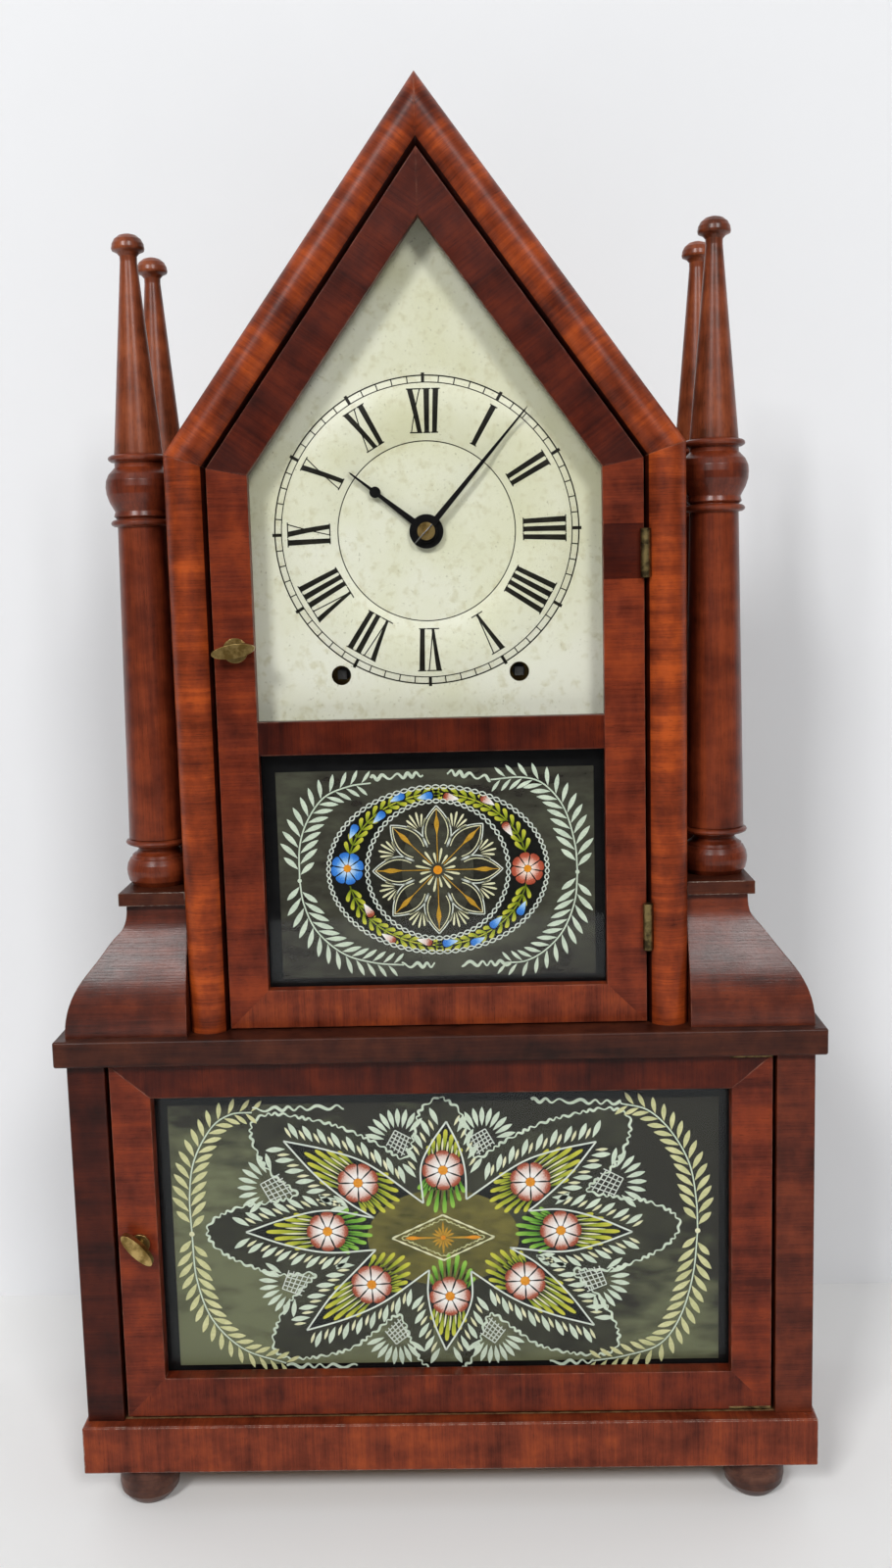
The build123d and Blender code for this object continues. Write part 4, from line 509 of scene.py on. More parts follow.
def taperedPin():
    # rings round the line from the thick end to the thin one; the first and the last have no radius,
    # so the surface is closed
    d = handPin
    thick, thin = np.array(d["thick"]), np.array(d["thin"])
    axis = (thin - thick) / np.linalg.norm(thin - thick)
    beside = np.cross(axis, (0.0, 1.0, 0.0))
    turn = np.linspace(0, 2 * np.pi, d["round"] + 1)[None, :, None]
    share = np.array(d["shares"])[:, None, None]
    radius = (d["radii"][0] + (d["radii"][1] - d["radii"][0]) * share) * np.array(d["ends"])[:, None, None]
    points = (thick + (thin - thick) * share
              + radius * (np.cos(turn) * beside + np.sin(turn) * np.cross(axis, beside)))
    return points.reshape(-1, 3), gridFaces(len(d["shares"]), d["round"] + 1)


pin = meshPiece("handPin", *taperedPin(), [finishes["verge"]], smooth=True)
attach(pin, "minute_hand")
print("hand pin made")


# the outlines of a brush stroke: its half width at each share of the way from root to tip
strokeOutlines = {
    "leaf": lambda share: np.sin(np.pi * share ** 1.2) ** 0.85,
    "petal": lambda share: 1.18 * share ** 0.75 * np.sqrt(1 - share ** 7),
    "disc": lambda share: 2 * np.sqrt(share * (1 - share)),
    "spindle": lambda share: np.interp(share, [0, 0.52, 0.70, 0.86, 1], [0.14, 0.14, 1.0, 0.16, 0.05]),
    "line": lambda share: np.ones_like(share),
}


def brushStrokes(roots, angles, lengths, widths, outline="leaf", bend=0.0, steps=9):
    # many strokes at once, each a grid of share (root to tip) and side (-1 to 1): it runs from its
    # root at its angle, leans off by bend * length * share squared, and is as wide as its outline
    roots = np.atleast_2d(roots)
    angles, lengths, widths, bend = (np.broadcast_to(v, len(roots))[:, None, None] * 1.0
                                     for v in (angles, lengths, widths, bend))
    share = ((1 - np.cos(np.linspace(0, np.pi, steps))) / 2)[None, :, None]
    side = np.array([-1.0, 0.0, 1.0])[None, None, :]
    along = lengths * share + 0 * side
    across = bend * lengths * share ** 2 + side * widths / 2 * strokeOutlines[outline](share)
    x = roots[:, 0, None, None] + along * np.cos(angles) - across * np.sin(angles)
    z = roots[:, 1, None, None] + along * np.sin(angles) + across * np.cos(angles)
    strokeMap = np.stack(np.broadcast_arrays(share + 0 * x, side + 0 * x), axis=-1)
    return np.stack([x, z], axis=-1).reshape(-1, 2), gridFaces(steps, 3, len(roots)), strokeMap.reshape(-1, 2)


def disc(centre, radius, steps=11):
    return brushStrokes(np.array(centre) - [radius, 0], 0.0, 2 * radius, 2 * radius, "disc", steps=steps)


def polar(centre, radius, angle):
    return np.stack([centre[0] + radius * np.cos(angle), centre[1] + radius * np.sin(angle)], axis=-1)


def smoothPath(points, count):
    # a Catmull-Rom curve through the points: on each span a cubic whose slope at both ends is half
    # the chord between the neighbours
    points = np.asarray(points, dtype=float)
    padded = np.concatenate([[2 * points[0] - points[1]], points, [2 * points[-1] - points[-2]]])
    place = np.linspace(0, len(points) - 1 - 1e-9, count)
    span, u = place.astype(int), (place % 1)[:, None]
    a, b, c, d = (padded[span + k] for k in range(4))
    curve = 2 * b + (c - a) * u + (2 * a - 5 * b + 4 * c - d) * u ** 2 + (3 * b - a - 3 * c + d) * u ** 3
    return curve / 2


def pathFrame(path):
    # for each point of a path: its distance along it, and the unit normal on the left
    slope = np.gradient(path, axis=0)
    slope /= np.linalg.norm(slope, axis=1)[:, None]
    distance = np.concatenate([[0], np.cumsum(np.linalg.norm(np.diff(path, axis=0), axis=1))])
    return distance, np.stack([-slope[:, 1], slope[:, 0]], axis=1)


def alongPath(path, places):
    # the points, the left normals and the headings of a path at some distances along it
    distance, normal = pathFrame(path)
    at, lean = (np.stack([np.interp(places, distance, line[:, k]) for k in (0, 1)], axis=1)
                for line in (path, normal))
    return at, lean, np.arctan2(lean[:, 1], lean[:, 0]) - np.pi / 2


def ribbon(path, half):
    # a line of paint: the path moved to both sides by half its width
    distance, normal = pathFrame(path)
    shift = np.broadcast_to(half, len(path))[:, None] * normal
    share = distance / distance[-1]
    strokeMap = np.stack([np.stack([share, share * 0 - 1], 1), np.stack([share, share * 0 + 1], 1)], axis=1)
    points = np.stack([path - shift, path + shift], axis=1)
    return points.reshape(-1, 2), gridFaces(len(path), 2), strokeMap.reshape(-1, 2)


def fillBetween(left, right):
    # the area between two paths of as many points
    points = np.stack([left, right], axis=1).reshape(-1, 2)
    return points, gridFaces(len(left), 2), np.zeros((len(points), 2))


def filledBox(left, right, bottom, top):
    return fillBetween([(left, bottom), (left, top)], [(right, bottom), (right, top)])


def paintFrame(outer, inner):
    # the painted border: the area between two rectangles, each given as left, right, bottom, top
    return fillBetween(*([(l, b), (r, b), (r, t), (l, t), (l, b)] for l, r, b, t in (outer, inner)))


def wavyLine(path, half, wave, period, seed):
    # a hand-drawn line: the path swung to both sides, one wave each period, its width uneven
    distance, normal = pathFrame(path)
    sway = wave * np.sin(2 * np.pi * distance / period + 1.3 * np.sin(distance / period * 1.7 + seed))
    uneven = half * (1 + 0.35 * np.sin(distance / period * 2.3 + 2 * seed))
    return ribbon(path + sway[:, None] * normal, uneven)


def leafySpray(points, spacing, length, width, spread, bend, taper):
    # leaves in two rows along a stem, all leaning towards its far end and shrinking on the way; the
    # stem is drawn too, and comes first
    path = smoothPath(points, 160)
    whole = pathFrame(path)[0][-1]
    places = np.arange(spacing * 0.8, whole - spacing * 0.2, spacing)
    lean, heading = alongPath(path, places)[1:]
    size = 1 - taper * (places / whole) ** 2
    grown = np.minimum(1, 0.6 + places / (4 * spacing))
    strokes = [ribbon(path, 0.35)]
    for side in (-1, 1):
        at = alongPath(path, places + side * spacing / 4)[0]
        strokes.append(brushStrokes(at + 0.5 * side * lean, heading + side * spread, length * size * grown,
                                    width * size, "leaf", -side * bend))
    return strokes


def sideSprays(d, layer, leafPaint, dotPaint):
    # the sprays on both sides of a tablet, a dot where each pair starts, and a wavy tail past each end
    for points in d["sprays"]:
        for paint, back, strokes in zip(("ferns", leafPaint, leafPaint), (0, 1, 1), leafySpray(points, *d["spray"])):
            yield paint, layer + back, strokes
    for points in d["sprays"][::2]:
        yield dotPaint, layer - 1, disc(points[0], d["dot"])
    *wave, seed = d["tailWave"]
    for index, ends in enumerate(d["tails"]):
        yield "ferns", layer, wavyLine(np.linspace(*ends, d["tailSteps"]), *wave, seed + index)


# a flower in shares of its radius: root and length of a petal, root, length and width of a gap, the
# radii of its backing and middle; a petal is as wide as this share of the room it has
flowerShares = {"petal": (0.16, 0.84), "petalWidth": 0.90, "gap": (0.22, 0.74, 0.09), "backing": 0.84, "middle": 0.23}


def flower(place, radius, paint, front, turn):
    # eight petals on a dark backing, with dark gaps between them and an orange middle
    d = flowerShares
    petals = turn + np.arange(8) * np.pi / 4
    gaps = petals + np.pi / 8
    root, long = np.multiply(d["petal"], radius)
    wide = 2 * radius * math.sin(math.pi / 8) * d["petalWidth"]
    yield paint, front + 1, brushStrokes(polar(place, root, petals), petals, long, wide, "petal")
    root, long, wide = np.multiply(d["gap"], radius)
    yield "black", front, brushStrokes(polar(place, root, gaps), gaps, long, wide)
    yield "black", front + 2, disc(place, d["backing"] * radius, 17)
    yield "orange", front, disc(place, d["middle"] * radius, 13)


def paintedPiece(name, body, glassBack, work):
    # joins the sets of strokes, each with its paint and its layer; a layer further from the glass
    # lies further back, and every face looks forward
    work = list(work)
    paints = list(dict.fromkeys(paint for paint, layer, strokes in work))
    allPoints, allFaces, allPaints, allMaps, count = [], [], [], [], 0
    for paint, layer, (points, faces, strokeMap) in work:
        depth = np.full(len(points), glassBack + layerGap * (layer + 1))
        points = np.stack([points[:, 0], depth, points[:, 1]], axis=1)
        rising, falling = points[faces[:, 2]] - points[faces[:, 0]], points[faces[:, 3]] - points[faces[:, 1]]
        turned = rising[:, 0] * falling[:, 2] < rising[:, 2] * falling[:, 0]
        allPoints.append(points)
        allFaces.append(np.where(turned[:, None], faces[:, ::-1], faces) + count)
        allPaints.append(np.full(len(faces), paints.index(paint)))
        allMaps.append(strokeMap)
        count += len(points)
    piece = meshPiece(name, np.concatenate(allPoints), np.concatenate(allFaces),
                      [tabletPaints[paint] for paint in paints], np.concatenate(allPaints),
                      np.concatenate(allMaps))
    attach(piece, body)


# oil paints of both tablets: what the eye gets is flat opaque brush strokes, the flowers blended wet
# from white to their colour, and a thin dark wash over the lower ground. On the middle tablet the dark
# film over the ground is painted shade of the case's dark inside seen through clear glass, and the
# dark fill of the star is dark paint with that painted shade; on the lower one a golden patch is a
# painted glow of the brass bob behind the glass
tabletPaints = {
    "border": ("blackTabletBorder", paintFilm, ("#0b0b0c", "#141414"), 8.0, 0.35),
    "black": ("blackTabletGround", paintFilm, ("#0f100e", "#171813"), 5.0, 0.4),
    "ferns": ("paleGreenTabletPaint", paintFilm, ("#bccab6", "#d3dfca"), 1.6),
    "chain": ("paleWhiteTabletPaint", paintFilm, ("#c6cfc4", "#e0e6da"), 1.0),
    "cream": ("creamTabletPaint", paintFilm, ("#cccca2", "#e6e4c0"), 1.4),
    "olive": ("paleOliveTabletPaint", paintFilm, ("#bcbd88", "#d5d3a0"), 2.5),
    "ochre": ("ochreTabletPaint", paintFilm, ("#a67d1f", "#c79a34"), 1.4),
    "orange": ("orangeTabletPaint", paintFilm, ("#cf7e14", "#e29a27"), 0.9),
    "leaves": ("yellowGreenTabletPaint", shadedPetal, [(0.05, "#5f6f12"), (0.45, "#95a226"), (0.85, "#c2c040")]),
    "bright": ("brightGreenTabletPaint", shadedPetal, [(0.05, "#3f6a18"), (0.45, "#5f9a2a"), (0.85, "#8cbb48")]),
    "blue": ("blueTabletPaint", shadedPetal,
             [(0.05, "#cfdfec"), (0.38, "#8ebbe6"), (0.66, "#3f86d6"), (0.95, "#2a68bc")]),
    "red": ("redTabletPaint", shadedPetal,
            [(0.10, "#efe4d8"), (0.40, "#dfb3a0"), (0.68, "#b85c43"), (0.95, "#9a432d")]),
    "rust": ("rustTabletPaint", shadedPetal,
             [(0.25, "#eeebe6"), (0.58, "#dcc6bb"), (0.80, "#ab5a40"), (0.98, "#86361f")]),
    # dark paint inside the star, with painted shade of the case's dark inside seen through the glass
    "shade": ("smokyTabletGround", paintFilm, ("#1a1a16", "#302f26"), 9.0),
    "dusk": ("duskyTabletGround", paintFilm, ("#24241c", "#3d3e30"), 11.0),
    # a painted glow: the brass pendulum bob seen through the glass
    "paintedBobGlow": ("goldenTabletGround", paintFilm, ("#48461f", "#726a33"), 7.0),
    # painted shade of the case's dark inside, seen through the clear middle glass
    "wash": ("thinDarkTabletWash", paintFilm, ("#2b2823", "#4d4e40"), 14.0, 0.5, 0.9),
    "greenWash": ("thinOliveTabletWash", paintFilm, ("#2d2c24", "#6d7154"), 16.0, 0.5, 0.92,
                  ((-0.7, 0, -2.4), 0.30)),
}
tabletPaints = {paint: newMaterial(*settings) for paint, settings in tabletPaints.items()}
layerGap = 0.05  # between one layer of paint and the next

middleTablet = {
    "glassBack": -45.5, "centre": (1.3, 315.0), "border": (-82.0, 83.0, 258.0, 374.0),
    "opening": (-74.3, 75.7, 263.2, 363.4), "outer": (52.0, 40.0), "inner": (33.6, 33.2), "hub": -0.9,
    "chainWave": 0.9, "chainPeriod": 6.8, "chainHalf": 0.28, "stemAngles": (11, 87), "stemHalf": 0.3,
    "leafStart": 1.5, "leafSpacing": 4.3, "leafLengths": (6.4, 4.8), "leafWidth": 2.3, "leafLean": 0.72,
    "leafBend": 0.15, "buds": {"blue": 4, "rust": 3}, "budPlace": (0.65, 0.2), "budSize": (7.6, 4.3),
    "budEdge": (8.2, 5.5), "budAway": (2.6, 0.5), "flowers": ((-41.7, 316.6), (44.0, 314.8)), "flowerRadius": 7.9,
    "petalTip": (31.0, 0.0), "petalValley": 12.0, "petalBulge": (20.6, 10.6), "petalMiddle": (21.5, 0.0),
    "petalLines": ((1.0, 1.0, "chain", 0.27), (0.86, 0.79, "cream", 0.22)), "fanAngles": (-44, -27, -10, 10, 27, 44),
    "fanLengths": (5.0, 6.6, 7.6, 7.6, 6.6, 5.0), "fanWidth": 1.15, "fanRadii": (20.0, 2.2),
    "spindle": (26.0, 2.7), "spindleRoot": 4.0, "rays": (5.4, 7.6), "rayWidth": 1.3, "rayRoot": 3.2,
    "middleDot": 2.1, "spray": (5.2, 11.2, 2.6, 0.76, -0.08, 0.45), "dot": 1.0, "tailSteps": 90,
    "tailWave": (0.6, 1.1, 5.2, 0),
    "sprays": [[(-64.7, 311.1), (-64.1, 327.3), (-59.9, 340.0), (-51.6, 351.0), (-39.8, 356.0), (-29.3, 357.4)],
               [(-64.7, 311.1), (-63.0, 299.2), (-57.1, 286.0), (-44.7, 274.9), (-29.9, 270.2), (-16.1, 268.9)],
               [(67.6, 312.7), (66.5, 326.7), (61.5, 343.8), (52.3, 355.1), (41.9, 358.6), (27.3, 357.8)],
               [(67.6, 312.7), (66.2, 298.8), (60.7, 284.8), (52.1, 275.2), (42.5, 269.9), (31.9, 269.0)]],
    "tails": [((-29.2, 359.8), (-4.6, 361.1)), ((27.3, 358.4), (7.0, 361.9)),
              ((-17.1, 268.9), (-1.2, 268.6)), ((35.0, 269.0), (11.6, 268.9))],
}


def middlePainting():
    # a wreath between two ellipses round a star of eight petals, with a spray on either side
    d = middleTablet
    centre = np.array(d["centre"])
    yield "border", 7, paintFrame(d["border"], d["opening"])
    # a dark film over the opening: painted shade of the case's dark inside, which shows through the clear glass
    yield "wash", 9, filledBox(*d["opening"])

    def onWreath(angle, share):
        # a point between the inner ellipse, 0, and the outer one, 1
        radii = np.array(d["inner"]) + np.subtract(d["outer"], d["inner"]) * share
        return centre + radii * polar((0, 0), 1.0, angle)

    turn = np.linspace(0, 2 * np.pi, 721)
    yield "black", 6, fillBetween(onWreath(turn, 1.0), onWreath(turn, 0.0))
    # inside the inner ellipse: dark paint with painted shade of the case's inside that shows through
    yield "shade", 6, fillBetween(onWreath(turn, 0.0), onWreath(turn, d["hub"]))
    for share in (0.0, 1.0):
        path = onWreath(turn, share)
        distance, normal = pathFrame(path)
        waves = round(distance[-1] / d["chainPeriod"])
        for side in (-1, 1):
            sway = side * d["chainWave"] * np.sin(waves * turn)
            yield "chain", 1, ribbon(path + sway[:, None] * normal, d["chainHalf"])

    # in each quarter of the wreath a leafy stem runs away from its flower, with buds on it
    for start, way, paint in ((np.pi, -1, "blue"), (np.pi, 1, "rust"), (0.0, 1, "rust"), (0.0, -1, "blue")):
        path = onWreath(start + way * np.radians(np.linspace(*d["stemAngles"], 60)), 0.5)
        whole = pathFrame(path)[0][-1]
        yield "leaves", 5, ribbon(path, d["stemHalf"])
        places = np.arange(d["leafStart"], whole, d["leafSpacing"])
        at, lean, heading = alongPath(path, places)
        sizes = np.interp(places, (0, whole), d["leafLengths"])
        for side in (-1, 1):
            yield "leaves", 4, brushStrokes(at, heading + side * d["leafLean"], sizes, d["leafWidth"], "petal",
                                            -side * d["leafBend"])
        buds, (before, after) = np.arange(d["buds"][paint]), d["budPlace"]
        at, lean, heading = alongPath(path, (buds + before) / (len(buds) + after) * whole)
        at += (np.where(buds % 2 == 0, 1, -1) * (d["budAway"][0] - d["budAway"][1] * buds))[:, None] * lean
        yield paint, 2, brushStrokes(at, heading, *d["budSize"], "petal")
        yield "black", 3, brushStrokes(at, heading, *d["budEdge"], "petal")
    for place, paint in zip(d["flowers"], ("blue", "red")):
        yield from flower(place, d["flowerRadius"], paint, 0, 0.2)

    # the star: double petal outlines, a spindle in each petal, fans between them, strokes round its
    # middle; half a petal's outline is a parabola from its valley by its bulge to its tip
    tips = np.arange(8) * np.pi / 4
    u = np.linspace(0, 1, 24)[:, None]
    valley = polar((0, 0), d["petalValley"], np.pi / 8)
    curve = (1 - u) ** 2 * valley + 2 * u * (1 - u) * d["petalBulge"] + u ** 2 * d["petalTip"]
    for tip in tips:
        for long, wide, paint, half in d["petalLines"]:
            for side in (-1, 1):
                x, z = ((curve - d["petalMiddle"]) * (long, side * wide) + d["petalMiddle"]).T
                yield paint, 2, ribbon(polar(centre, np.hypot(x, z), np.arctan2(z, x) + tip), half)
        fan = tip + np.pi / 8 + np.radians(d["fanAngles"])
        roots = polar(polar(centre, d["fanRadii"][0], tip + np.pi / 8), d["fanRadii"][1], fan)
        yield "cream", 2, brushStrokes(roots, fan, d["fanLengths"], d["fanWidth"], "petal")
    yield "ochre", 3, brushStrokes(polar(centre, d["spindleRoot"], tips), tips, *d["spindle"], "spindle", steps=21)
    rays = np.arange(16) * np.pi / 8 + np.pi / 16
    yield "cream", 2, brushStrokes(polar(centre, d["rayRoot"], rays), rays, d["rays"] * 8, d["rayWidth"], "petal")
    yield "orange", 1, disc(centre, d["middleDot"], 13)

    yield from sideSprays(d, 2, "ferns", "ferns")


paintedPiece("middleTabletPainting", "upper_door", middleTablet["glassBack"], middlePainting())
print("middle tablet painted")


lowerTablet = {
    "glassBack": -53.0, "centre": (-0.5, 134.0), "border": (-140.0, 140.5, 65.0, 213.5),
    "opening": (-132.2, 133.2, 69.2, 203.0), "rhombus": (24.9, 11.6), "paintedBobGlow": (37.0, 24.5),
    # the blades from a flower towards its tip, and those back to the middle: how many, how far round it
    # they start and how far they turn; the first reach for a share of the way, but not past a length
    "flowerRadius": 10.2, "bladesOut": (7, 0.85, 0.15), "outReach": (0.80, 21.0), "bladesBack": (8, 1.05, 0.45),
    "backReach": 14.0,
    # thick and thin blades: where they start, as a share of the flower's radius and as an angle, how long
    # they are as a share of their reach, how much shorter the outer ones are, their width and their bend
    "blades": ((0.9, 0.0, 1.0, 0.50, 2.4, "petal", 0.05), (0.8, 0.13, 0.7, 0.4, 0.9, "leaf", 0.0)),
    "lobeHalf": 10.8, "lobeLine": 0.42, "frillStart": 13.0, "frillSpacing": 3.5, "frillAway": 2.2,
    "frillLean": 0.55, "frillBend": 0.05, "frill": (("ferns", 9.6, 2.7), ("cream", 6.2, 1.5)),
    "rhombusLines": ((1.0, "cream", 0.4, 0.0), (0.82, "olive", 0.25, 0.35)), "rhombusWave": (2.4, 1.0),
    "rays": (16.5, 5.0, 5.0, 5.0, 7.5, 5.0, 5.0, 5.0), "rayRoot": 0.8, "rayWidth": 1.1,
    "sideRay": (10.5, 8.0, 2.0), "middleDot": 1.2, "wavyLine": (0.48, 0.6, 4.2), "duskMiddle": 0.06,
    # the lattice in each fan is a kite: how far along and beside its axis its corners lie, as shares of
    # the fan's length, and where the middle of the ring of strokes is and how wide that ring
    "kite": (0.52, 0.40, 0.92), "fanRing": (0.56, 0.44), "fanOpening": 1.15, "fanTurn": 0.9,
    "fanStroke": (9.6, 2.5), "latticeStart": 0.14, "latticeHalf": 0.27, "mirrorShift": -1.4,
    # the tip and the flower of each lobe, going round from the left, and the valley after it
    "lobes": [((-96.8, 138.3), (-56.9, 138.0), (-34.0, 144.7)), ((-76.6, 184.5), (-41.2, 162.6), (-9.7, 151.8)),
              ((2.4, 193.0), (0.2, 168.4), (11.2, 153.4)), ((74.4, 181.6), (42.4, 161.7), (41.2, 147.0)),
              ((91.5, 135.5), (56.8, 136.7), (31.9, 128.3)), ((72.5, 87.5), (39.0, 111.0), (12.7, 116.5)),
              ((-0.6, 75.5), (2.1, 103.6), (-7.8, 117.3)), ((-68.9, 86.9), (-36.2, 110.2), (-33.6, 128.2))],
    "wavyHalf": [(-1.3, 205.5), (-9.9, 198.9), (-13.0, 188.2), (-18.0, 174.6), (-31.9, 182.7), (-48.5, 190.8),
                 (-62.4, 194.9), (-81.1, 198.2), (-91.0, 194.4), (-92.0, 185.6), (-87.7, 174.7), (-82.0, 166.8),
                 (-71.4, 157.2), (-86.7, 153.0), (-99.1, 151.2), (-111.7, 145.4), (-115.8, 138.5),
                 (-110.6, 129.4), (-96.6, 121.1), (-79.7, 115.9), (-63.9, 116.1), (-73.4, 105.7), (-80.4, 96.7),
                 (-85.9, 81.5), (-81.4, 73.2), (-67.0, 72.4), (-47.6, 76.9), (-34.9, 85.9), (-23.2, 93.9),
                 (-17.8, 80.6), (-13.4, 70.3), (-8.8, 66.1)],
    # the apex, heading in degrees and length of each lattice fan on the left half
    "fans": [((-72.0, 157.6), 163, 19.0), ((-18.6, 175.2), 106, 15.5), ((-65.0, 115.4), 204, 18.0),
             ((-23.0, 93.0), 262, 15.5)],
    "spray": (5.6, 11.0, 3.0, 0.70, -0.08, 0.35), "dot": 1.3, "tailSteps": 120, "tailWave": (0.6, 1.0, 7.5, 2),
    "sprays": [[(-123.3, 137.8), (-123.5, 157.3), (-120.5, 175.3), (-111.5, 191.6), (-101.8, 198.3),
                (-91.3, 199.2)],
               [(-123.3, 137.8), (-122.0, 114.3), (-115.2, 93.2), (-100.4, 77.5), (-79.8, 69.8)],
               [(123.1, 135.6), (122.5, 150.9), (119.2, 169.7), (110.4, 186.2), (99.3, 197.0), (86.3, 200.6)],
               [(123.1, 135.6), (120.8, 113.0), (114.6, 91.5), (104.3, 77.1), (87.3, 71.3), (71.4, 68.8)]],
    "tails": [((-91.0, 200.6), (-46.8, 201.2)), ((-79.5, 68.4), (-44.6, 67.8)),
              ((86.5, 201.0), (43.5, 203.0)), ((72.0, 68.6), (50.4, 68.2))],
}


def lobeOutline(tip, valley, place, half, side):
    # one side of a lobe: from its valley, past the widest place beside its flower, to its tip
    tip, place = np.array(tip), np.array(place)
    axis = (tip - place) / np.linalg.norm(tip - place)
    normal = side * np.array([-axis[1], axis[0]])
    wide = place + half * normal
    return smoothPath([valley, wide, 0.5 * wide + 0.5 * tip + 0.14 * half * normal, tip], 40)


def lowerPainting():
    # eight pointed lobes with a flower each round a rhombus, a wavy line with lattice fans round them,
    # and a garland on either side
    d = lowerTablet
    radius = d["flowerRadius"]
    yield "border", 11, paintFrame(d["border"], d["opening"])
    yield "greenWash", 13, filledBox(*d["opening"])
    for number, (tip, place, valley) in enumerate(d["lobes"]):
        sides = [lobeOutline(tip, valley, place, d["lobeHalf"], -1),
                 lobeOutline(tip, d["lobes"][number - 1][2], place, d["lobeHalf"], 1)]
        yield "black", 10, fillBetween(*sides)
        # long blades run out from the flower towards the tip, and short ones back to the middle
        axis = np.arctan2(tip[1] - place[1], tip[0] - place[0])
        share, most = d["outReach"]
        out = min((math.dist(tip, place) - radius) * share, most)
        back = "leaves" if number % 2 else "bright"
        for way, (count, opened, turned), reach, paints in (
                (0, d["bladesOut"], out, ("leaves", "cream")),
                (np.pi, d["bladesBack"], d["backReach"], (back, back))):
            spread = np.linspace(-1, 1, count)
            around, heading = axis + way + spread * opened, axis + way + spread * turned
            for layer, paint, (root, ahead, long, shorter, wide, outline, bend) in zip((8, 9), paints, d["blades"]):
                yield paint, layer, brushStrokes(polar(place, radius * root, around + ahead), heading,
                                                 long * reach * (1 - shorter * np.abs(spread)), wide, outline,
                                                 spread * bend)
        yield from flower(place, radius, "rust", 4, 0.4 * number)
        for path in sides:
            yield "chain", 3, ribbon(path, d["lobeLine"])
            # strokes stand along the outside of the lobe and lean towards its tip, large and small in turn
            places = np.arange(d["frillStart"], pathFrame(path)[0][-1] - 0.5, d["frillSpacing"])
            at, lean, heading = alongPath(path, places)
            lean = np.where((lean * (at - place)).sum(1)[:, None] < 0, -lean, lean)
            outward = np.arctan2(lean[:, 1], lean[:, 0])
            heading = outward + d["frillLean"] * ((axis - outward + np.pi) % (2 * np.pi) - np.pi)
            for odd, (paint, length, width) in enumerate(d["frill"]):
                yield paint, 9, brushStrokes((at + d["frillAway"] * lean)[odd::2], heading[odd::2], length, width,
                                             "leaf", d["frillBend"])

    cross = np.array(d["centre"])
    for grow, paint, half, wave in d["rhombusLines"]:
        corners = np.array([(1, 0), (0, 1), (-1, 0), (0, -1), (1, 0)]) * d["rhombus"] * grow + cross
        for a, b in zip(corners[:-1], corners[1:]):
            yield paint, 2, wavyLine(np.linspace(a, b, 60), half, wave, *d["rhombusWave"])
    rays = np.arange(16) * np.pi / 8
    yield "ochre", 2, brushStrokes(polar(cross, d["rayRoot"], rays), rays, d["rays"] * 2, d["rayWidth"])
    root, long, wide = d["sideRay"]
    yield "orange", 1, brushStrokes(polar(cross, root, rays[::8]), rays[::8], long, wide)
    yield "orange", 1, disc(cross, d["middleDot"])

    # a golden patch behind the rhombus: painted glow of the brass pendulum bob seen through the glass
    turn = np.linspace(0, np.pi, 60)
    paintedBobGlow = np.stack([np.sin(turn), np.cos(turn)], axis=1) * d["paintedBobGlow"]
    yield "paintedBobGlow", 9, fillBetween(cross + paintedBobGlow * [-1, 1], cross + paintedBobGlow)
    (alongKite, besideKite, kiteEnd), (ringMiddle, ringRadius) = d["kite"], d["fanRing"]
    for mirror, shift in ((1, 0.0), (-1, d["mirrorShift"])):
        path = smoothPath(np.array(d["wavyHalf"]) * [mirror, 1] + [shift, 0], 1500)
        yield "ferns", 7, wavyLine(path, *d["wavyLine"], mirror)
        yield "dusk", 12, fillBetween(path, cross + d["duskMiddle"] * (path - cross))
        for apex, heading, length in d["fans"]:
            heading = math.radians(heading if mirror == 1 else 180 - heading)
            apex = np.array(apex) * [mirror, 1] + [shift, 0]
            axis, normal = polar((0, 0), length, heading), polar((0, 0), length, heading + np.pi / 2)
            # a lattice of lines between the sides of a kite that stands on the apex
            wing = [apex + alongKite * axis + k * besideKite * normal for k in (-1, 1)]
            for share in np.linspace(d["latticeStart"], 1, 5):
                for k in (0, 1):
                    start = apex + (wing[k] - apex) * share
                    finish = wing[1 - k] + (apex + kiteEnd * axis - wing[1 - k]) * share
                    yield "chain", 6, ribbon(np.linspace(start, finish, 5), d["latticeHalf"])
            around = np.linspace(-d["fanOpening"], d["fanOpening"], 9)
            roots = polar(apex + ringMiddle * axis, ringRadius * length, heading + around)
            yield "ferns", 8, brushStrokes(roots, heading + d["fanTurn"] * around, *d["fanStroke"])

    yield from sideSprays(d, 3, "olive", "cream")


paintedPiece("lowerTabletPainting", "lower_door", lowerTablet["glassBack"], lowerPainting())
print("lower tablet painted")


# the room: a pale floor and wall, with a soft lamp high at the left front and a weaker one at the right
studio = {"wallY": 160.0, "far": 4000.0, "floorFront": -1300.0, "floorShade": "#ececeb", "wallShade": "#e4e5e7",
          "worldShade": "#f2f3f5", "worldStrength": 0.52, "seenStrength": 0.8, "bright": (0, 0.35, 0.94),
          "lamps": {"leftBox": ((-1160, -2605, 2180), (0, 0, 330), 700, 60),
                    "rightBox": ((975, -2680, 2100), (0, 0, 330), 700, 46)}}


def roomPaint(add, point, shade):
    # matt emulsion, rolled on: an even pale shade that wavers by one part in a hundred; the back of the
    # sheet is clear, so that the wall doesn't hide the clock from behind
    roll = realSizePatterns(add, point, {"roll": ((40.0, 40.0, 40.0), 3)})["roll"]
    base = linear(shade)
    dull = [part * 0.985 for part in base[:3]] + [1.0]
    colour = add("Mix", {0: roll, 6: dull, 7: base}, data_type="RGBA").outputs[2]
    paint = add("BsdfPrincipled", {"Base Color": colour, "Roughness": 0.7})
    back = add("NewGeometry").outputs["Backfacing"]
    return add("MixShader", {0: back, 1: paint, 2: add("BsdfTransparent")})


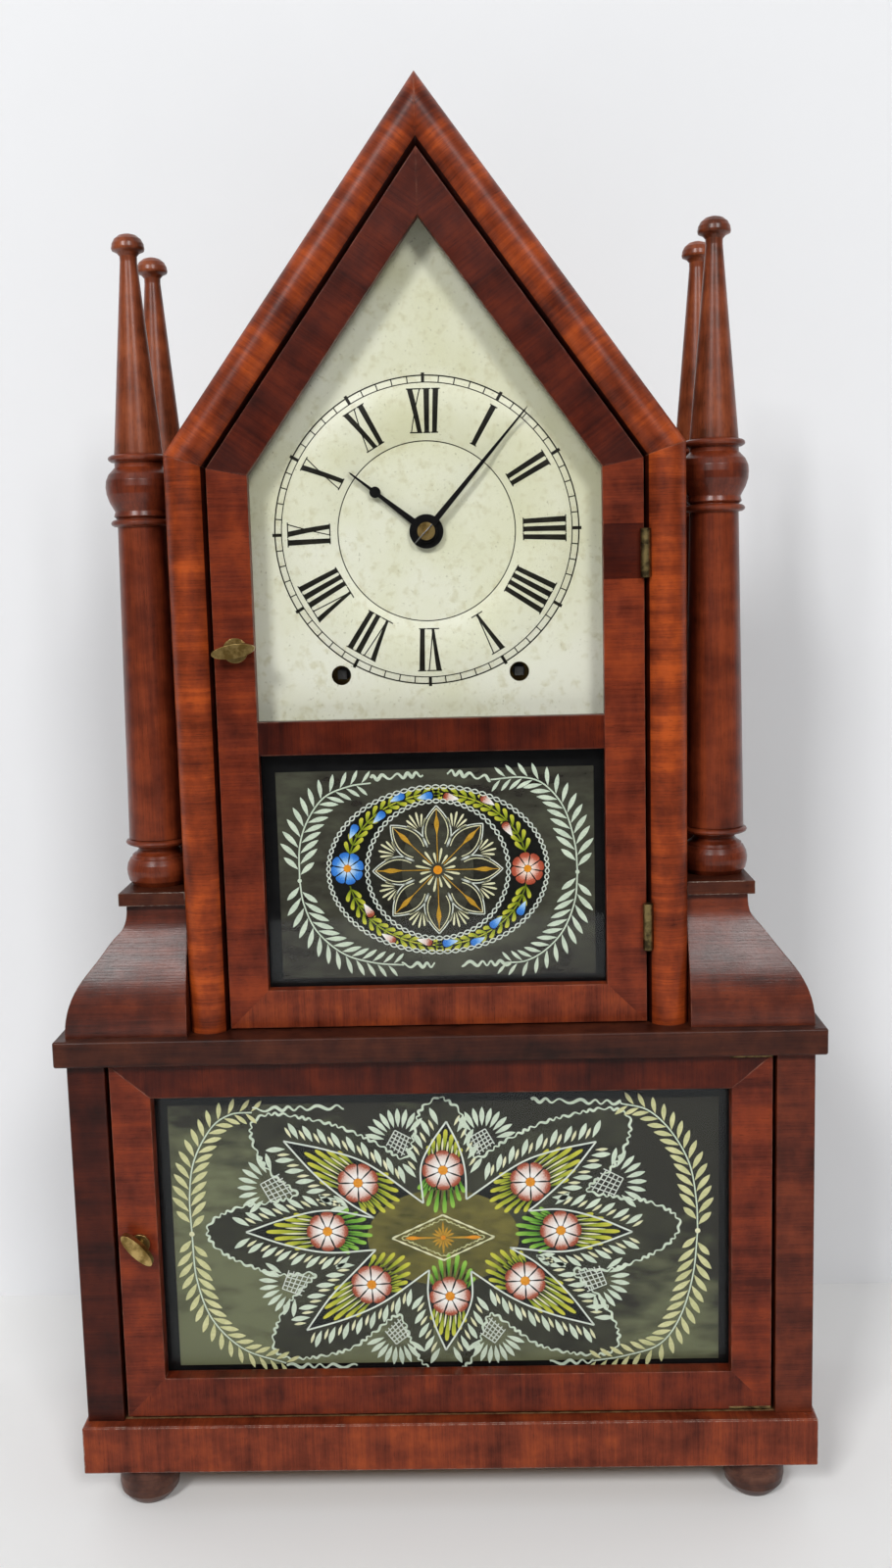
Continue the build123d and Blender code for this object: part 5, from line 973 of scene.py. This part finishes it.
far, front, wall = (studio[k] for k in ("far", "floorFront", "wallY"))
for name, shade, corners in (
        ("floor", studio["floorShade"], [(-far, front, 0), (far, front, 0), (far, far, 0), (-far, far, 0)]),
        ("wall", studio["wallShade"], [(-far, wall, 0), (far, wall, 0), (far, wall, far), (-far, wall, far)])):
    meshPiece(name + "Sheet", corners, [[0, 1, 2, 3]], [newMaterial(name + "Emulsion", roomPaint, shade)])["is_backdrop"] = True
for name, (place, aim, side, power) in studio["lamps"].items():
    lamp = bpy.data.lights.new(name, "AREA")
    lamp.size, lamp.energy = side * mm, power
    holder = bpy.data.objects.new(name, lamp)
    holder.location = Vector(place) * mm
    holder.rotation_euler = (Vector(aim) - Vector(place)).to_track_quat("-Z", "Y").to_euler()
    bpy.context.scene.collection.objects.link(holder)
world = bpy.context.scene.world = bpy.data.worlds.new("paleRoom")
world.use_nodes = True
world.node_tree.nodes.clear()
add = partial(addNode, world.node_tree)
# the room is brightest overhead and behind the clock, and dim in front of it, so that the glass stays
# clear; the camera sees it evenly pale past the edges of the wall
towards = add("VectorMath DOT_PRODUCT", {0: add("TexCoord"), 1: studio["bright"]}).outputs[1]
towards = add("Math MULTIPLY_ADD", {0: towards, 1: 0.5, 2: 0.5})
strength = add("ValToRGB", {0: towards}, [(0.30, 0.10), (0.55, 0.30), (0.85, 1.0)])
strength = add("Math MULTIPLY", {0: strength, 1: studio["worldStrength"]})
isSeen = add("LightPath").outputs["Is Camera Ray"]
strength = add("Mix", {0: isSeen, 2: strength, 3: studio["seenStrength"]})
light = add("Background", {"Color": linear(studio["worldShade"]), "Strength": strength})
add("OutputWorld", {"Surface": light})

# the camera stands where the photograph was taken from; angles in degrees, lens for a 36 mm sensor
cameraView = {"place": (21.5, -739.5, 453.5), "yaw": -1.26, "pitch": 7.98, "roll": -1.44, "lens": 34.13}
yaw, pitch, roll = (math.radians(cameraView[k]) for k in ("yaw", "pitch", "roll"))
forward = Vector((math.sin(yaw) * math.cos(pitch), math.cos(yaw) * math.cos(pitch), -math.sin(pitch)))
level = Vector((math.cos(yaw), -math.sin(yaw), 0))
upright = level.cross(forward)
tilted = (level * math.cos(roll) + upright * math.sin(roll), upright * math.cos(roll) - level * math.sin(roll))
camera = bpy.data.objects.new("camera", bpy.data.cameras.new("camera"))
camera.data.lens, camera.data.sensor_width, camera.data.clip_start = cameraView["lens"], 36.0, 0.01
camera.matrix_world = Matrix.Translation(Vector(cameraView["place"]) * mm) @ Matrix(
    (*tilted, -forward)).transposed().to_4x4()
bpy.context.scene.collection.objects.link(camera)
bpy.context.scene.camera = camera
bpy.context.scene.view_settings.view_transform = "Standard"
print("room, lamps and camera placed")

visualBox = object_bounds()
[[list(map(float, corner)) for corner in box] for box in (cadBox, visualBox)]
